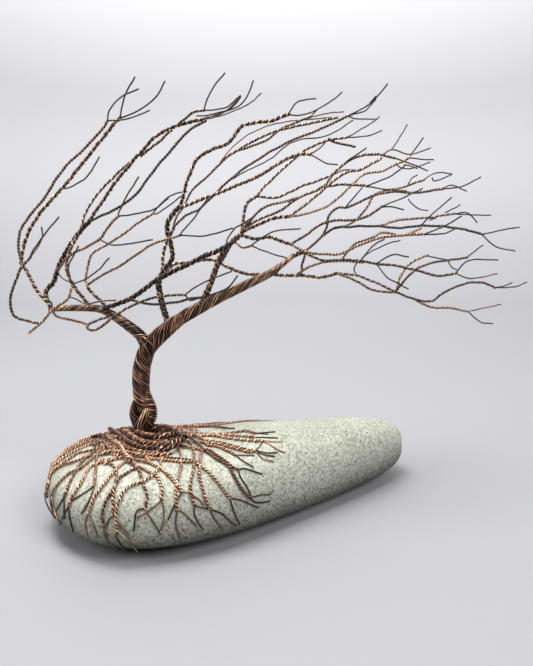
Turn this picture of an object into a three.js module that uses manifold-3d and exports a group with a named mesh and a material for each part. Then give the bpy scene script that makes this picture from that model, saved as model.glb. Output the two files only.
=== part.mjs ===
// A wire tree sculpture: a tree twisted from soft copper craft wire, standing on a beach pebble.
// About a hundred wires are laid together for the trunk, divided again and again into limbs and
// branches, and end in twisted pairs that split into single wires. Below, the same wires are
// wound into a coil round the foot and draped over the pebble as roots.
//
// Millimetres, +Z up, +X along the longest extent. The origin is the middle of the small flat
// that the pebble rests on.

import * as THREE from "three";
import { mergeVertices } from "three/addons/utils/BufferGeometryUtils.js";
import Module from "manifold-3d";

const wasm = await Module();
wasm.setup();

// Driving dimensions

const WIRE = 0.25; // radius of one 0.5 mm wire
const PAIR = 0.5; // radius of two wires twisted together
const DOUBLE = 0.75; // radius of two pairs twisted together
const ROPE = 0.95; // radius of the heavier ropes of three or four pairs
const GAP = 0.3; // clearance between separate solids

const PEBBLE = {
  centre: { x: 1.1, y: -1.7 },
  halfLength: 64.3,
  halfWidth: 29.3,
  top: 14.4, // height of the crown over the widest level
  bottom: 10.7, // depth of the underside below it
  taper: 0.6, // how much narrower the far end is
  fullness: 0.32, // how much fuller than an ellipse both ends are
  lean: 0.34, // how much lower the back of the crown is
  fall: 0.06, // how much lower the far end of the crown is
  turn: THREE.MathUtils.degToRad(25.5),
  planPower: 2,
  profilePower: 3.2,
  flat: 0.5, // worn off the very bottom, where it rests
};
const PEBBLE_CEILING = 60; // safely over the pebble's crown
const FOOT = new THREE.Vector3(-32.5, -7, 23.2); // middle of the trunk's foot, on the pebble

const COIL_CENTRE = { x: 3, y: -4 }; // from the trunk's foot, in plan
const COIL_HOLE = 5.4;
const COIL_MIDDLE = 10;
const COIL_RIM = 15;
const COIL_HEIGHT = 2.6;
const COIL_SHOULDER = 0.8; // of the coil's height, left at its middle and at its rim
const COIL_EDGE = 0.35;
const ROOT_CLEARANCE = 0.5; // under a root, whose straight stretches cut across the pebble's curve
const ROOT_STEP = 6; // longest straight stretch of a root, a limb and a branch
const LIMB_STEP = 5;
const BRANCH_STEP = 11;

// The tree is set out on an upright board at the trunk's foot, as the maker sees it from in
// front: x across and z up are read on the board, and y is the true depth behind it.

const EYE_REACH = 200;
const EYE_DIP = THREE.MathUtils.degToRad(7.7);
const EYE_ACROSS = 40.5;
const EYE_UP = 34;

function eyeAndAxes(side) {
  const forward = new THREE.Vector3(0, side * Math.cos(EYE_DIP), -Math.sin(EYE_DIP));
  const up = new THREE.Vector3(0, side * Math.sin(EYE_DIP), Math.cos(EYE_DIP));
  const eye = FOOT.clone()
    .addScaledVector(up, EYE_UP)
    .addScaledVector(forward, -EYE_REACH);
  eye.x += EYE_ACROSS;
  return { eye, forward, up };
}

const FRONT = eyeAndAxes(1);
const BEHIND = eyeAndAxes(-1);

function sightLine(view, x, z) {
  const line = view.forward.clone().multiplyScalar(EYE_REACH);
  line.addScaledVector(view.up, z - EYE_UP);
  line.x += x - EYE_ACROSS;
  return line;
}

function spot([x, z, depth]) {
  const line = sightLine(FRONT, x, z);
  const share = (FOOT.y + depth - FRONT.eye.y) / line.y;
  return FRONT.eye.clone().addScaledVector(line, share);
}

// The pebble: a flattened egg with a superellipse plan and profile

function signedPower(value, power) {
  return Math.sign(value) * Math.abs(value) ** power;
}

function crownHeight(along, across) {
  return PEBBLE.top * (1 - PEBBLE.lean * across - PEBBLE.fall * along);
}

function halfWidthAt(along) {
  return PEBBLE.halfWidth * (1 - PEBBLE.taper * along + PEBBLE.fullness * along ** 2);
}

const PEBBLE_LEVEL = PEBBLE.bottom - PEBBLE.flat;

function pebbleGeometry() {
  const sphere = new THREE.SphereGeometry(1, 36, 14).rotateX(Math.PI / 2);
  sphere.deleteAttribute("normal");
  sphere.deleteAttribute("uv");
  const geometry = mergeVertices(sphere);
  const position = geometry.attributes.position;
  const plan = 2 / PEBBLE.planPower;
  const profile = 2 / PEBBLE.profilePower;
  for (let i = 0; i < position.count; i++) {
    const angle = Math.atan2(position.getY(i), position.getX(i));
    const rise = position.getZ(i);
    const reach = Math.hypot(position.getX(i), position.getY(i)) ** profile;
    const along = reach * signedPower(Math.cos(angle), plan);
    const across = reach * signedPower(Math.sin(angle), plan);
    const u = PEBBLE.halfLength * along;
    const w = halfWidthAt(along) * across;
    const half = rise > 0 ? crownHeight(along, across) : PEBBLE.bottom;
    const z = PEBBLE_LEVEL + half * signedPower(rise, profile);
    position.setXYZ(
      i,
      PEBBLE.centre.x + u * Math.cos(PEBBLE.turn) - w * Math.sin(PEBBLE.turn),
      PEBBLE.centre.y + u * Math.sin(PEBBLE.turn) + w * Math.cos(PEBBLE.turn),
      Math.max(z, 0),
    );
  }
  return geometry;
}

// Below zero inside the pebble grown by lift all round, above zero outside it
function pebbleField(point, lift) {
  const x = point.x - PEBBLE.centre.x;
  const y = point.y - PEBBLE.centre.y;
  const u = x * Math.cos(PEBBLE.turn) + y * Math.sin(PEBBLE.turn);
  const w = y * Math.cos(PEBBLE.turn) - x * Math.sin(PEBBLE.turn);
  const h = point.z - PEBBLE_LEVEL;
  const along = u / (PEBBLE.halfLength + lift);
  const within = THREE.MathUtils.clamp(along, -1, 1);
  const across = w / (halfWidthAt(within) + lift);
  const half = (h > 0 ? crownHeight(within, across) : PEBBLE.bottom) + lift;
  const plan = Math.abs(along) ** PEBBLE.planPower + Math.abs(across) ** PEBBLE.planPower;
  const ring = plan ** (PEBBLE.profilePower / PEBBLE.planPower);
  return ring + Math.abs(h / half) ** PEBBLE.profilePower - 1;
}

const SEARCH_FROM = 0.3; // shares of the line between which the pebble is looked for
const SEARCH_TO = 1.6;
const SEARCH_STEP = 0.004;
const SEARCH_HALVINGS = 24;

// First point where a line from start meets the grown pebble, or the point nearest to it
function layOnPebble(start, line, lift) {
  const at = (share) => start.clone().addScaledVector(line, share);
  let nearest = 0;
  let nearestField = Infinity;
  for (let share = SEARCH_FROM; share < SEARCH_TO; share += SEARCH_STEP) {
    const field = pebbleField(at(share), lift);
    if (field < nearestField) {
      nearest = share;
      nearestField = field;
    }
    if (field < 0) {
      break;
    }
  }
  if (nearestField > 0) {
    return at(nearest);
  }
  let outside = nearest - SEARCH_STEP;
  let inside = nearest;
  for (let turn = 0; turn < SEARCH_HALVINGS; turn++) {
    const middle = (outside + inside) / 2;
    if (pebbleField(at(middle), lift) < 0) {
      inside = middle;
    } else {
      outside = middle;
    }
  }
  return at(outside);
}

function pebbleTop(x, y, lift) {
  const above = new THREE.Vector3(x, y, PEBBLE_CEILING);
  return layOnPebble(above, new THREE.Vector3(0, 0, -PEBBLE_CEILING), lift);
}

// Solids: tubes along curves, joined and cut

function solidOf(geometry) {
  const bare = geometry.clone();
  bare.deleteAttribute("normal");
  bare.deleteAttribute("uv");
  const merged = mergeVertices(bare, 1e-4);
  return new wasm.Manifold(
    new wasm.Mesh({
      numProp: 3,
      vertProperties: new Float32Array(merged.attributes.position.array),
      triVerts: new Uint32Array(merged.index.array),
    }),
  );
}

function geometryOf(solid) {
  const mesh = solid.getMesh();
  const geometry = new THREE.BufferGeometry();
  geometry.setAttribute("position", new THREE.BufferAttribute(mesh.vertProperties, 3));
  geometry.setIndex(new THREE.BufferAttribute(mesh.triVerts, 1));
  return geometry;
}

function join(solids) {
  return solids.reduce((whole, solid) => whole.add(solid));
}

function largestPiece(solid) {
  const pieces = solid.decompose();
  pieces.sort((a, b) => b.volume() - a.volume());
  return pieces[0];
}

function section(sides) {
  const corners = [];
  for (let i = 0; i < sides; i++) {
    const angle = (2 * Math.PI * i) / sides;
    corners.push(new THREE.Vector2(Math.cos(angle), Math.sin(angle)));
  }
  return new THREE.Shape(corners);
}

// A tube whose radius is radiusAt(share of its length); the section is swept at unit radius
// and each ring is then grown about its own point of the curve
function tube(points, radiusAt, sides, step) {
  const curve = new THREE.CatmullRomCurve3(points, false, "centripetal");
  const steps = Math.max(2, Math.ceil(curve.getLength() / step));
  const geometry = new THREE.ExtrudeGeometry(section(sides), {
    steps,
    bevelEnabled: false,
    extrudePath: curve,
  });
  const centres = curve.getSpacedPoints(steps);
  const position = geometry.attributes.position;
  const vertex = new THREE.Vector3();
  for (let i = 0; i < position.count; i++) {
    vertex.fromBufferAttribute(position, i);
    let ring = 0;
    for (let j = 1; j <= steps; j++) {
      const off = Math.abs(centres[j].distanceTo(vertex) - 1);
      if (off < Math.abs(centres[ring].distanceTo(vertex) - 1)) {
        ring = j;
      }
    }
    const centre = centres[ring];
    vertex.sub(centre).multiplyScalar(radiusAt(ring / steps)).add(centre);
    position.setXYZ(i, vertex.x, vertex.y, vertex.z);
  }
  return solidOf(geometry);
}

function ropeTube([radius, ...route], grown) {
  const sides = radius > WIRE ? 5 : 3;
  return tube(route.map(spot), () => radius + grown, sides, BRANCH_STEP);
}

// The tree's nodes, in the order in which they are made

const COPPER = { color: 0x6b4433, roughness: 0.42, metalness: 0.9 };
const STONE = { color: 0xa9aea1, roughness: 0.85, metalness: 0 };

const tree = new THREE.Group();
const grownSolids = {};

function addMesh(name, solid, finish) {
  const mesh = new THREE.Mesh(geometryOf(solid), new THREE.MeshStandardMaterial(finish));
  mesh.name = name;
  tree.add(mesh);
}

function addLimb(name, parents, radiusAt, route) {
  const points = route.map(spot);
  let solid = tube(points, radiusAt, 8, LIMB_STEP);
  for (const parent of parents) {
    solid = solid.subtract(grownSolids[parent]);
  }
  grownSolids[name] = tube(points, (share) => radiusAt(share) + GAP, 8, LIMB_STEP);
  addMesh(name, largestPiece(solid), COPPER);
}

function addBranch(name, parents, ropes) {
  let solid = join(ropes.map((rope) => ropeTube(rope, 0)));
  for (const parent of parents) {
    solid = solid.subtract(grownSolids[parent]);
  }
  grownSolids[name] = join(ropes.map((rope) => ropeTube(rope, GAP)));
  addMesh(name, largestPiece(solid), COPPER);
}

addMesh("pebble", solidOf(pebbleGeometry()), STONE);

// Trunk and limbs

const TRUNK_RADIUS = 2.85;
const TRUNK_HEIGHT = 30.7;
const FLARE = 1.7;
const FLARE_HEIGHT = 5.5;
const FLARE_SPREAD = 3.2;

function trunkRadius(share) {
  const height = share * TRUNK_HEIGHT;
  return TRUNK_RADIUS + FLARE * Math.exp(-(((height - FLARE_HEIGHT) / FLARE_SPREAD) ** 2));
}

function narrowing(from, to) {
  return (share) => from + (to - from) * share;
}

addLimb("trunk", [], trunkRadius, [
  [1, 1, 0],
  [-0.7, 5.7, 0],
  [-0.9, 9.5, 0],
  [-1.3, 15, 0],
  [-1.2, 20, 0],
  [-0.6, 25, 0],
  [1.7, 31, 0],
]);
addLimb("right_limb", ["trunk"], narrowing(2.9, 1.4), [
  [0.7, 28, 0],
  [4.7, 32.7, 0.5],
  [9, 36.7, 0.5],
  [15, 40.7, 0.5],
  [25, 46, 1],
  [34.3, 50.3, 1],
  [42.3, 54.3, 1],
]);
addLimb("left_limb", ["trunk", "right_limb"], narrowing(1.9, 0.95), [
  [0.4, 29, 0],
  [-1.7, 34, -0.5],
  [-5.7, 37, -1],
  [-11, 40.3, -2],
  [-15.7, 42.3, -3],
  [-25, 42.3, -5],
  [-32, 42, -6],
]);
addLimb("middle_limb", ["right_limb"], narrowing(1.45, 1.1), [
  [8.7, 35, 1],
  [6.7, 39.7, 2.5],
  [5.3, 45, 3.5],
  [4.4, 50.7, 4],
  [5.6, 53.5, 4],
]);
addLimb("cluster_limb", ["right_limb"], narrowing(1.15, 0.9), [
  [19.3, 43, 0.5],
  [21, 47.7, 0.5],
  [23, 53, 1],
  [24.7, 57.7, 1],
  [27.7, 62.7, 1],
  [31.7, 66.7, 1],
  [34.7, 71, 1],
]);

// Branches of the left limb

addBranch("left_outer_branch", ["left_limb"], [
  [DOUBLE, [-31, 42, -6], [-33.4, 45, -7], [-36, 48, -7], [-38.7, 53.3, -8], [-41.5, 57.7, -9]],
  [
    PAIR,
    [-41, 57.2, -9],
    [-42.2, 61.7, -9],
    [-41.7, 67.7, -10],
    [-39, 72.3, -10],
    [-34.7, 77.3, -11],
    [-29.7, 85, -12],
    [-25.3, 90.7, -12],
    [-18.3, 97.3, -12],
    [-12.3, 105, -12],
  ],
  [WIRE, [-12.6, 104.3, -12], [-11.7, 108.3, -12], [-8.3, 112.3, -13], [-2.3, 115.3, -15]],
  [WIRE, [-12.9, 104.6, -12], [-5, 105.7, -11], [1.7, 108.2, -9]],
]);
addBranch("left_inner_branch", ["left_outer_branch"], [
  [
    DOUBLE,
    [-41.3, 57.4, -9],
    [-40.8, 61, -7],
    [-38.7, 68.3, -6],
    [-34.3, 75, -5],
    [-28.3, 81.3, -5],
    [-24.7, 85.7, -5],
    [-19.3, 92.7, -6],
    [-13.3, 100, -7],
    [-8, 106.3, -8],
  ],
  [WIRE, [-8.4, 105.7, -8], [-7.7, 109, -9], [-6.3, 114, -12], [-3.3, 119.5, -15]],
  [WIRE, [-8.4, 105.7, -8], [-3.3, 107.7, -8], [2.7, 111.7, -9], [6.8, 118, -10]],
  [WIRE, [-27.5, 82.1, -5], [-25.3, 82.5, -8], [-19.7, 85.7, -12], [-15.2, 92.8, -15]],
]);
addBranch("left_main_branch", ["left_limb", "left_outer_branch"], [
  [
    ROPE,
    [-31, 42, -5.5],
    [-32.8, 45.5, -3.2],
    [-32.7, 48.3, -2],
    [-30.3, 51.3, -1],
    [-28.3, 57.3, 0],
    [-24, 64.7, 1],
    [-18, 72, 1],
  ],
  [
    DOUBLE,
    [-18.3, 71.6, 1],
    [-16, 75.3, 1],
    [-11, 82.7, 2],
    [-6.7, 88.3, 3],
    [-2, 93.7, 4],
    [4.3, 100, 4],
    [11, 103.3, 4],
    [19.7, 105.2, 4],
  ],
  [WIRE, [19, 105, 4], [25.7, 107, 3], [32, 112.7, 2]],
  [WIRE, [19, 105.3, 4], [31.7, 110, 3], [36, 118.2, 1]],
  [WIRE, [19, 105, 4.2], [29, 107.7, 6], [34.3, 110.3, 7], [38.7, 114, 8]],
  [PAIR, [10, 102.8, 3.5], [16, 107.3, 2], [20, 108.3, 1]],
  [WIRE, [19.4, 108, 1], [22, 114.7, -1], [26.7, 120.8, -3]],
]);
addBranch("left_thin_branch", ["left_main_branch"], [
  [
    PAIR,
    [-21.3, 68, 1],
    [-20.2, 73, 4],
    [-18, 77.3, 6],
    [-13.7, 82.7, 8],
    [-8.3, 88, 8],
    [-4, 91.7, 7.5],
    [0, 95.5, 7],
  ],
]);
addBranch("left_crossing_branch", ["left_main_branch"], [
  [
    PAIR,
    [-18.3, 71.4, 1],
    [-14, 73.3, -2],
    [-10.3, 75, -4],
    [-5, 78.5, -5],
    [-2, 81.3, -5],
    [1.3, 86.3, -5],
    [7, 93, -5],
    [14, 101, -4],
    [20.5, 105, -2],
  ],
]);
addBranch("left_front_branch", ["left_main_branch"], [
  [
    PAIR,
    [-29.3, 54.3, -0.5],
    [-26.9, 58, -7],
    [-23, 61, -9],
    [-19.3, 62.7, -10],
    [-14.7, 65.7, -12],
    [-11.3, 70.3, -13],
    [-8.5, 73, -14],
  ],
  [WIRE, [-8.8, 72.6, -14], [-8.3, 75, -15], [-5, 81.7, -18], [-2, 86, -20]],
  [WIRE, [-8.8, 72.8, -14], [2.3, 75, -17], [7.7, 79, -18]],
  [WIRE, [-15, 65.5, -12], [-9.7, 63.3, -15], [2.3, 65, -20]],
]);
addBranch("left_inner_twig", ["left_limb", "left_main_branch", "left_front_branch"], [
  [
    DOUBLE,
    [-17.5, 42.3, -3.5],
    [-20.3, 45.3, -4],
    [-24.3, 50.7, -4],
    [-26.3, 56, -4],
    [-25.3, 60.7, -3.5],
    [-22.8, 66, -1],
  ],
  [WIRE, [-24, 50.3, -4.3], [-25.5, 54.3, -8], [-25, 57.7, -12], [-22.2, 63, -15]],
  [WIRE, [-24, 50.3, -4.3], [-21, 51.3, -8], [-15.7, 54.7, -12], [-12, 59, -15]],
]);
addBranch("left_drooping_twig", ["left_inner_twig", "left_limb"], [
  [PAIR, [-24, 50.3, -4.5], [-26, 45.3, -8.5], [-31, 41.7, -11], [-35, 37, -14], [-38.7, 33.7, -17]],
  [
    PAIR,
    [-35.2, 37, -14],
    [-41.7, 38.7, -15],
    [-44.3, 40.7, -16],
    [-45, 45, -16],
    [-44.3, 48.3, -16],
    [-42, 54.7, -16],
    [-38, 59.3, -15],
  ],
  [WIRE, [-38.4, 59, -15], [-37, 62.3, -16], [-33.3, 67.3, -18], [-28.7, 72.7, -19]],
  [WIRE, [-38.4, 59, -15], [-34.3, 65.7, -13], [-34.6, 69.3, -13]],
]);
addBranch("left_rising_branch", ["left_limb"], [
  [DOUBLE, [-11.5, 41, -2.2], [-15.3, 45, 0.5], [-18.3, 48, 2], [-19.4, 50.4, 3]],
  [
    PAIR,
    [-19.3, 50, 3],
    [-20, 51.7, 4],
    [-19, 57, 6],
    [-17.3, 60.7, 7],
    [-12.3, 63.7, 8],
    [-6, 68, 9],
    [2.7, 74, 10],
  ],
  [WIRE, [2.2, 73.7, 10], [8.3, 79.7, 10], [14, 81.3, 9]],
  [WIRE, [2.2, 73.7, 10], [5, 74.3, 9], [12.3, 79.7, 6]],
]);
addBranch("left_lower_branch", ["left_rising_branch"], [
  [
    PAIR,
    [-19, 50, 3],
    [-16, 52.3, 1],
    [-10, 55.3, -2],
    [-4.7, 58.7, -4],
    [1.7, 63, -6],
    [7.3, 65.2, -8],
    [12, 66.7, -10],
  ],
  [WIRE, [11.5, 66.5, -10], [16, 71.7, -13], [21.3, 79.3, -17]],
  [WIRE, [11.5, 66.5, -10], [20, 66.5, -12], [29.3, 69, -14]],
]);
addBranch("bridging_rope", ["left_limb", "cluster_limb"], [
  [
    ROPE,
    [-14.4, 42, -3],
    [-9, 43.7, -5],
    [-4, 46, -5],
    [0.7, 49.3, -5],
    [5, 52.3, -5],
    [12.3, 56, -4.5],
    [19.3, 59.3, -4],
    [26.7, 62.7, -3],
    [31, 66, 0],
  ],
]);
addBranch("bridge_twig", ["bridging_rope"], [
  [PAIR, [-5.5, 45.4, -5], [0, 43.7, -8], [9, 44, -10], [15, 45.3, -12], [19.7, 46, -13]],
  [WIRE, [19.2, 45.9, -13], [27, 48.7, -16], [31, 53, -18]],
]);
addBranch("low_looping_twig", ["left_limb", "bridge_twig"], [
  [PAIR, [-31.5, 42, -6], [-29, 39.3, -7], [-23, 38, -8], [-18.7, 36.5, -9]],
  [
    PAIR,
    [-10.5, 40, -2],
    [-15.7, 38.3, -6.5],
    [-19, 36.7, -8.5],
    [-18.7, 35, -10],
    [-16, 35.3, -11],
    [-10, 39.7, -11],
    [-3.7, 43.3, -11.5],
    [3.3, 45.7, -13],
    [13.7, 46.8, -15],
  ],
  [WIRE, [13.2, 46.8, -15], [18.3, 50.3, -18], [29, 54.7, -22]],
]);

// Branches of the middle limb

addBranch("middle_front_branch", ["middle_limb"], [
  [
    ROPE,
    [5.2, 53, 3.7],
    [7, 55.7, 2],
    [9.1, 59, 1],
    [8.7, 62.7, 0],
    [7.3, 69, 0],
    [9.3, 73.7, 0],
    [11, 75.7, 0],
  ],
  [
    DOUBLE,
    [10.7, 75.3, 0],
    [12.3, 78.3, -1],
    [14.3, 85, -2],
    [17.3, 91.7, -2],
    [21.7, 95, -2],
    [27.7, 97.3, -2],
    [32, 102.7, -2],
    [37, 104, -2],
    [42.3, 104.7, -2],
    [48.3, 107.2, -2],
  ],
  [WIRE, [47.8, 107, -2], [50.7, 111, -3], [57, 112.2, -5]],
  [WIRE, [47.8, 107, -2], [52.7, 106.8, -2], [59, 109.3, -1], [65.7, 114.3, 0]],
]);
addBranch("middle_right_branch", ["middle_front_branch"], [
  [
    DOUBLE,
    [11, 75.5, 0.2],
    [16.7, 77.7, 3],
    [23.3, 80.3, 4],
    [30, 83, 4],
    [37.3, 86, 4],
    [43.7, 90, 4],
    [50, 93, 4],
    [55.7, 93.7, 4],
  ],
  [WIRE, [55.2, 93.6, 4], [58.5, 95.5, 3], [60.7, 98.2, 2]],
  [WIRE, [55.2, 93.6, 4], [60, 90.7, 5], [64.3, 90.3, 7]],
]);
addBranch("middle_back_branch", ["middle_limb", "middle_front_branch"], [
  [DOUBLE, [5, 52.6, 4], [5.8, 56, 7], [6.3, 61, 9], [7.3, 64.7, 10], [10, 69.7, 11.5]],
  [
    PAIR,
    [9.7, 69.2, 11.4],
    [10.3, 72.7, 14],
    [13.3, 77, 18],
    [16, 82, 21],
    [20.7, 86, 23],
    [27.7, 93, 25],
    [34.3, 96, 26],
    [40.7, 98.3, 27],
    [45.7, 102.3, 28],
    [55.3, 106, 28],
  ],
  [WIRE, [54.8, 105.8, 28], [61.7, 107.3, 30], [66.3, 107.7, 32]],
]);
addBranch("middle_outer_branch", ["middle_back_branch"], [
  [
    PAIR,
    [9.7, 69.2, 11.2],
    [13.7, 73.3, 11],
    [18, 75.3, 11],
    [22.7, 79.7, 11],
    [27.7, 84.7, 11],
    [34.7, 90, 11],
    [42.3, 94.7, 10],
    [48.7, 98, 9],
    [56, 101, 8],
    [69.3, 107, 6],
  ],
  [WIRE, [68.8, 106.8, 6], [75.3, 110.7, 4], [80.8, 117.3, 2]],
  [WIRE, [68.8, 106.8, 6], [73.3, 108, 6], [77, 112, 7]],
]);
addBranch("middle_thin_twig", ["middle_back_branch"], [
  [
    WIRE,
    [25, 91, 24.3],
    [31.7, 98.3, 29],
    [41, 103, 31],
    [51.7, 105, 33],
    [64.3, 105.8, 35],
  ],
]);
addBranch("middle_back_twig", ["middle_outer_branch"], [
  [WIRE, [28, 85, 11.2], [33.7, 88, 16], [41.7, 92, 18], [49, 97.7, 19], [60.7, 99.7, 20], [69.3, 105, 20]],
]);
addBranch("crossing_rope", ["middle_limb", "middle_front_branch", "middle_back_branch", "right_limb"], [
  [
    DOUBLE,
    [5.3, 52.7, 4],
    [9.3, 56.6, 5.5],
    [13.7, 57.3, 5],
    [17.7, 58, 5],
    [23, 58.3, 4.5],
    [27.7, 55.7, 4],
    [34.3, 53.7, 3.5],
    [41, 53.7, 2],
  ],
]);

// Branches of the cluster limb

addBranch("cluster_back_branch", ["cluster_limb"], [
  [DOUBLE, [32.5, 67.5, 1], [32.5, 71, 5], [34, 77.3, 9], [37.3, 79.7, 12]],
  [
    PAIR,
    [37, 79.4, 11.8],
    [41, 84, 15],
    [48.7, 91, 18],
    [54.3, 95.3, 20],
    [61.3, 98.3, 22],
    [67.7, 99.3, 23],
  ],
  [WIRE, [67.2, 99.2, 23], [74, 103, 24], [78.3, 106.2, 25]],
  [WIRE, [67.2, 99.2, 23], [74, 99.7, 24], [79, 101.5, 25]],
]);
addBranch("cluster_back_twig", ["cluster_back_branch"], [
  [PAIR, [37.3, 79.5, 11.8], [43.3, 79, 13], [48.3, 81, 14], [53.3, 83.3, 15], [62.7, 86.7, 16]],
  [WIRE, [62.2, 86.5, 16], [66.5, 88.3, 17], [71, 88.3, 18]],
]);
addBranch("cluster_short_branch", ["cluster_limb"], [
  [PAIR, [34.7, 70.5, 1], [38.3, 74.9, -1.5], [42.3, 77, -2], [45, 77.6, -1.5]],
]);
addBranch("cluster_upper_branch", ["cluster_limb"], [
  [
    PAIR,
    [33.3, 69.3, 1],
    [37.7, 71.7, 3.8],
    [42.3, 73.7, 4.5],
    [47, 76, 4.5],
    [51.7, 79.3, 4.5],
    [59.3, 82.7, 4.5],
    [62.7, 87, 5],
    [66.7, 90.7, 5.5],
    [71.7, 93, 5.5],
    [77, 93.7, 5.5],
    [83.3, 92.3, 5],
  ],
  [WIRE, [82.8, 92.4, 5], [90, 89.7, 3], [94.3, 88.2, 3]],
  [WIRE, [79.3, 93.3, 5.3], [82.7, 95.3, 4], [88, 93.5, 3], [95.3, 95.7, 1]],
  [WIRE, [82.2, 95.1, 4], [84, 98, 5], [87.3, 103.3, 7]],
]);
addBranch("cluster_side_twig", ["cluster_upper_branch"], [
  [PAIR, [58.5, 82.4, 4.5], [65, 83.5, 2], [74.3, 83, 0]],
  [WIRE, [73.8, 83, 0], [81, 86, -3], [86.7, 89.7, -6]],
  [WIRE, [73.8, 83, 0], [81, 81.8, 0], [87.3, 81.5, 0]],
]);
addBranch("cluster_centre_branch", ["cluster_limb"], [
  [DOUBLE, [33, 68, 0.5], [38.3, 70.3, -4], [43.3, 72.3, -5], [48.7, 72.7, -5]],
  [
    PAIR,
    [48.2, 72.7, -5],
    [52.7, 76.3, -4],
    [57.7, 80.3, -3.5],
    [63.3, 85, -2],
    [67.7, 87.7, -1.5],
    [72.3, 88.7, -0.5],
    [79, 92.5, 1.5],
  ],
]);
addBranch("cluster_far_branch", ["cluster_centre_branch"], [
  [
    PAIR,
    [48.4, 72.7, -4.8],
    [55.3, 74.3, 0],
    [58.3, 75.3, 3],
    [62.7, 77.7, 8],
    [68.3, 82.7, 13],
    [73, 87, 17],
    [79, 88, 19],
    [84, 90.3, 20],
    [88.3, 92.7, 20],
  ],
  [WIRE, [87.8, 92.4, 20], [92.7, 99.2, 20]],
  [WIRE, [87.8, 92.4, 20], [96.3, 91.7, 22]],
]);
addBranch("cluster_level_branch", ["cluster_limb"], [
  [DOUBLE, [31.5, 66.7, 0.5], [37, 65.3, -2], [41, 66, -2], [45, 64.7, -2], [49, 63.3, -2]],
  [
    PAIR,
    [48.5, 63.4, -2],
    [53.3, 66.3, -1.5],
    [57.7, 69.7, -0.5],
    [61.7, 71.3, 0],
    [68.3, 71.7, 0],
    [74, 72.7, 0],
    [79, 76.3, 0],
  ],
  [WIRE, [78.6, 76, 0], [85, 78.7, -1], [92.7, 82.3, -3]],
  [WIRE, [78.6, 76, 0], [82.5, 75.9, 0], [86.3, 75, 0]],
]);
addBranch("cluster_low_branch", ["cluster_level_branch"], [
  [
    PAIR,
    [48.7, 63.3, -2.2],
    [53.7, 61, -4.5],
    [59, 60.3, -5],
    [65.3, 60.5, -5],
    [73.7, 64.3, -5],
    [80.3, 66, -5],
    [93.3, 67, -5],
  ],
  [WIRE, [92.8, 67, -5], [99.3, 69.3, -6], [105.7, 73, -8]],
  [WIRE, [92.8, 67, -5], [99.5, 67, -4.5], [103.7, 69, -4]],
]);
addBranch("cluster_front_twig", ["cluster_limb", "cluster_level_branch", "bridging_rope"], [
  [PAIR, [29.7, 64.7, 0.5], [32.5, 62.5, -4], [36, 63, -7]],
  [WIRE, [35.5, 62.9, -6.6], [42.3, 67.7, -12], [52, 68.7, -15]],
  [WIRE, [35.5, 62.9, -6.6], [41.7, 60.7, -11], [47, 59, -14]],
]);

// Branches of the right limb

addBranch("right_lower_branch", ["right_limb", "crossing_rope"], [
  [DOUBLE, [41.2, 53.9, 1.2], [46, 53.2, 4], [54.3, 53, 6], [59, 52.7, 7], [64.3, 54, 8]],
  [PAIR, [63.8, 54, 8], [68, 52.4, 9], [72.7, 50, 10], [77.7, 48, 11.5], [84, 47.7, 13]],
  [PAIR, [63.8, 54, 8], [70, 53.3, 9.5], [75.7, 51.3, 11], [84, 47.7, 13]],
  [
    PAIR,
    [83.5, 47.9, 13],
    [89.7, 45.3, 15],
    [95.3, 44.7, 17],
    [99.3, 47.3, 18],
    [105, 50, 20],
    [111.7, 51, 22],
    [116.7, 49, 24],
  ],
  [WIRE, [116.2, 49.2, 23.8], [123.3, 49.3, 26], [127.3, 51, 27]],
  [WIRE, [116.2, 49.2, 23.8], [119.7, 49.7, 27], [122.3, 50.7, 29]],
]);
addBranch("right_lowest_twig", ["right_lower_branch"], [
  [PAIR, [89.2, 45.6, 14.8], [95, 42.8, 18], [102.3, 42.3, 22], [108.3, 41, 26]],
  [WIRE, [107.8, 41.1, 25.8], [118.7, 43.7, 30]],
  [WIRE, [107.8, 41.1, 25.8], [111.7, 37.7, 28], [116, 37, 30]],
]);
addBranch("right_back_twig", ["right_lower_branch"], [
  [PAIR, [83.7, 47.8, 13], [85.3, 53, 17], [88, 56.7, 20], [91, 58.7, 22], [94.3, 60, 24]],
  [WIRE, [93.8, 59.8, 23.8], [98, 58.7, 26], [101, 58.3, 28]],
]);
addBranch("right_middle_twig", ["right_lower_branch", "right_back_twig"], [
  [
    PAIR,
    [83.5, 47.7, 12.6],
    [86, 50.7, 11],
    [88, 53.3, 11],
    [91, 55.7, 11.5],
    [94.3, 57, 13],
    [101, 58.3, 14],
    [107.7, 59.3, 15],
  ],
  [WIRE, [107.2, 59.2, 15], [112.7, 63.3, 16]],
]);
addBranch("right_upper_branch", ["right_limb", "right_lower_branch"], [
  [DOUBLE, [41.7, 53.9, 1], [45, 56.3, 1.8], [47.7, 58.7, 2.2], [50.3, 60.3, 2.5], [53.3, 61.3, 2.8]],
  [
    PAIR,
    [52.8, 61.1, 2.8],
    [57.3, 64.7, 3.5],
    [60, 68.3, 4],
    [61.3, 73, 4],
    [64, 75.7, 4.5],
    [67.3, 76, 5],
    [71.7, 77.7, 5],
    [76, 79.7, 6],
    [82.3, 81, 7],
    [89, 80.8, 7],
    [99.3, 82, 8],
  ],
  [WIRE, [66.8, 76, 4.8], [70, 79.7, 5.5], [72.3, 82.5, 6.5]],
  [WIRE, [98.8, 82, 8], [102.3, 83.3, 8], [107.3, 81.3, 8]],
  [WIRE, [98.8, 82, 8], [105.7, 83, 9], [112, 86, 10]],
]);
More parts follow.
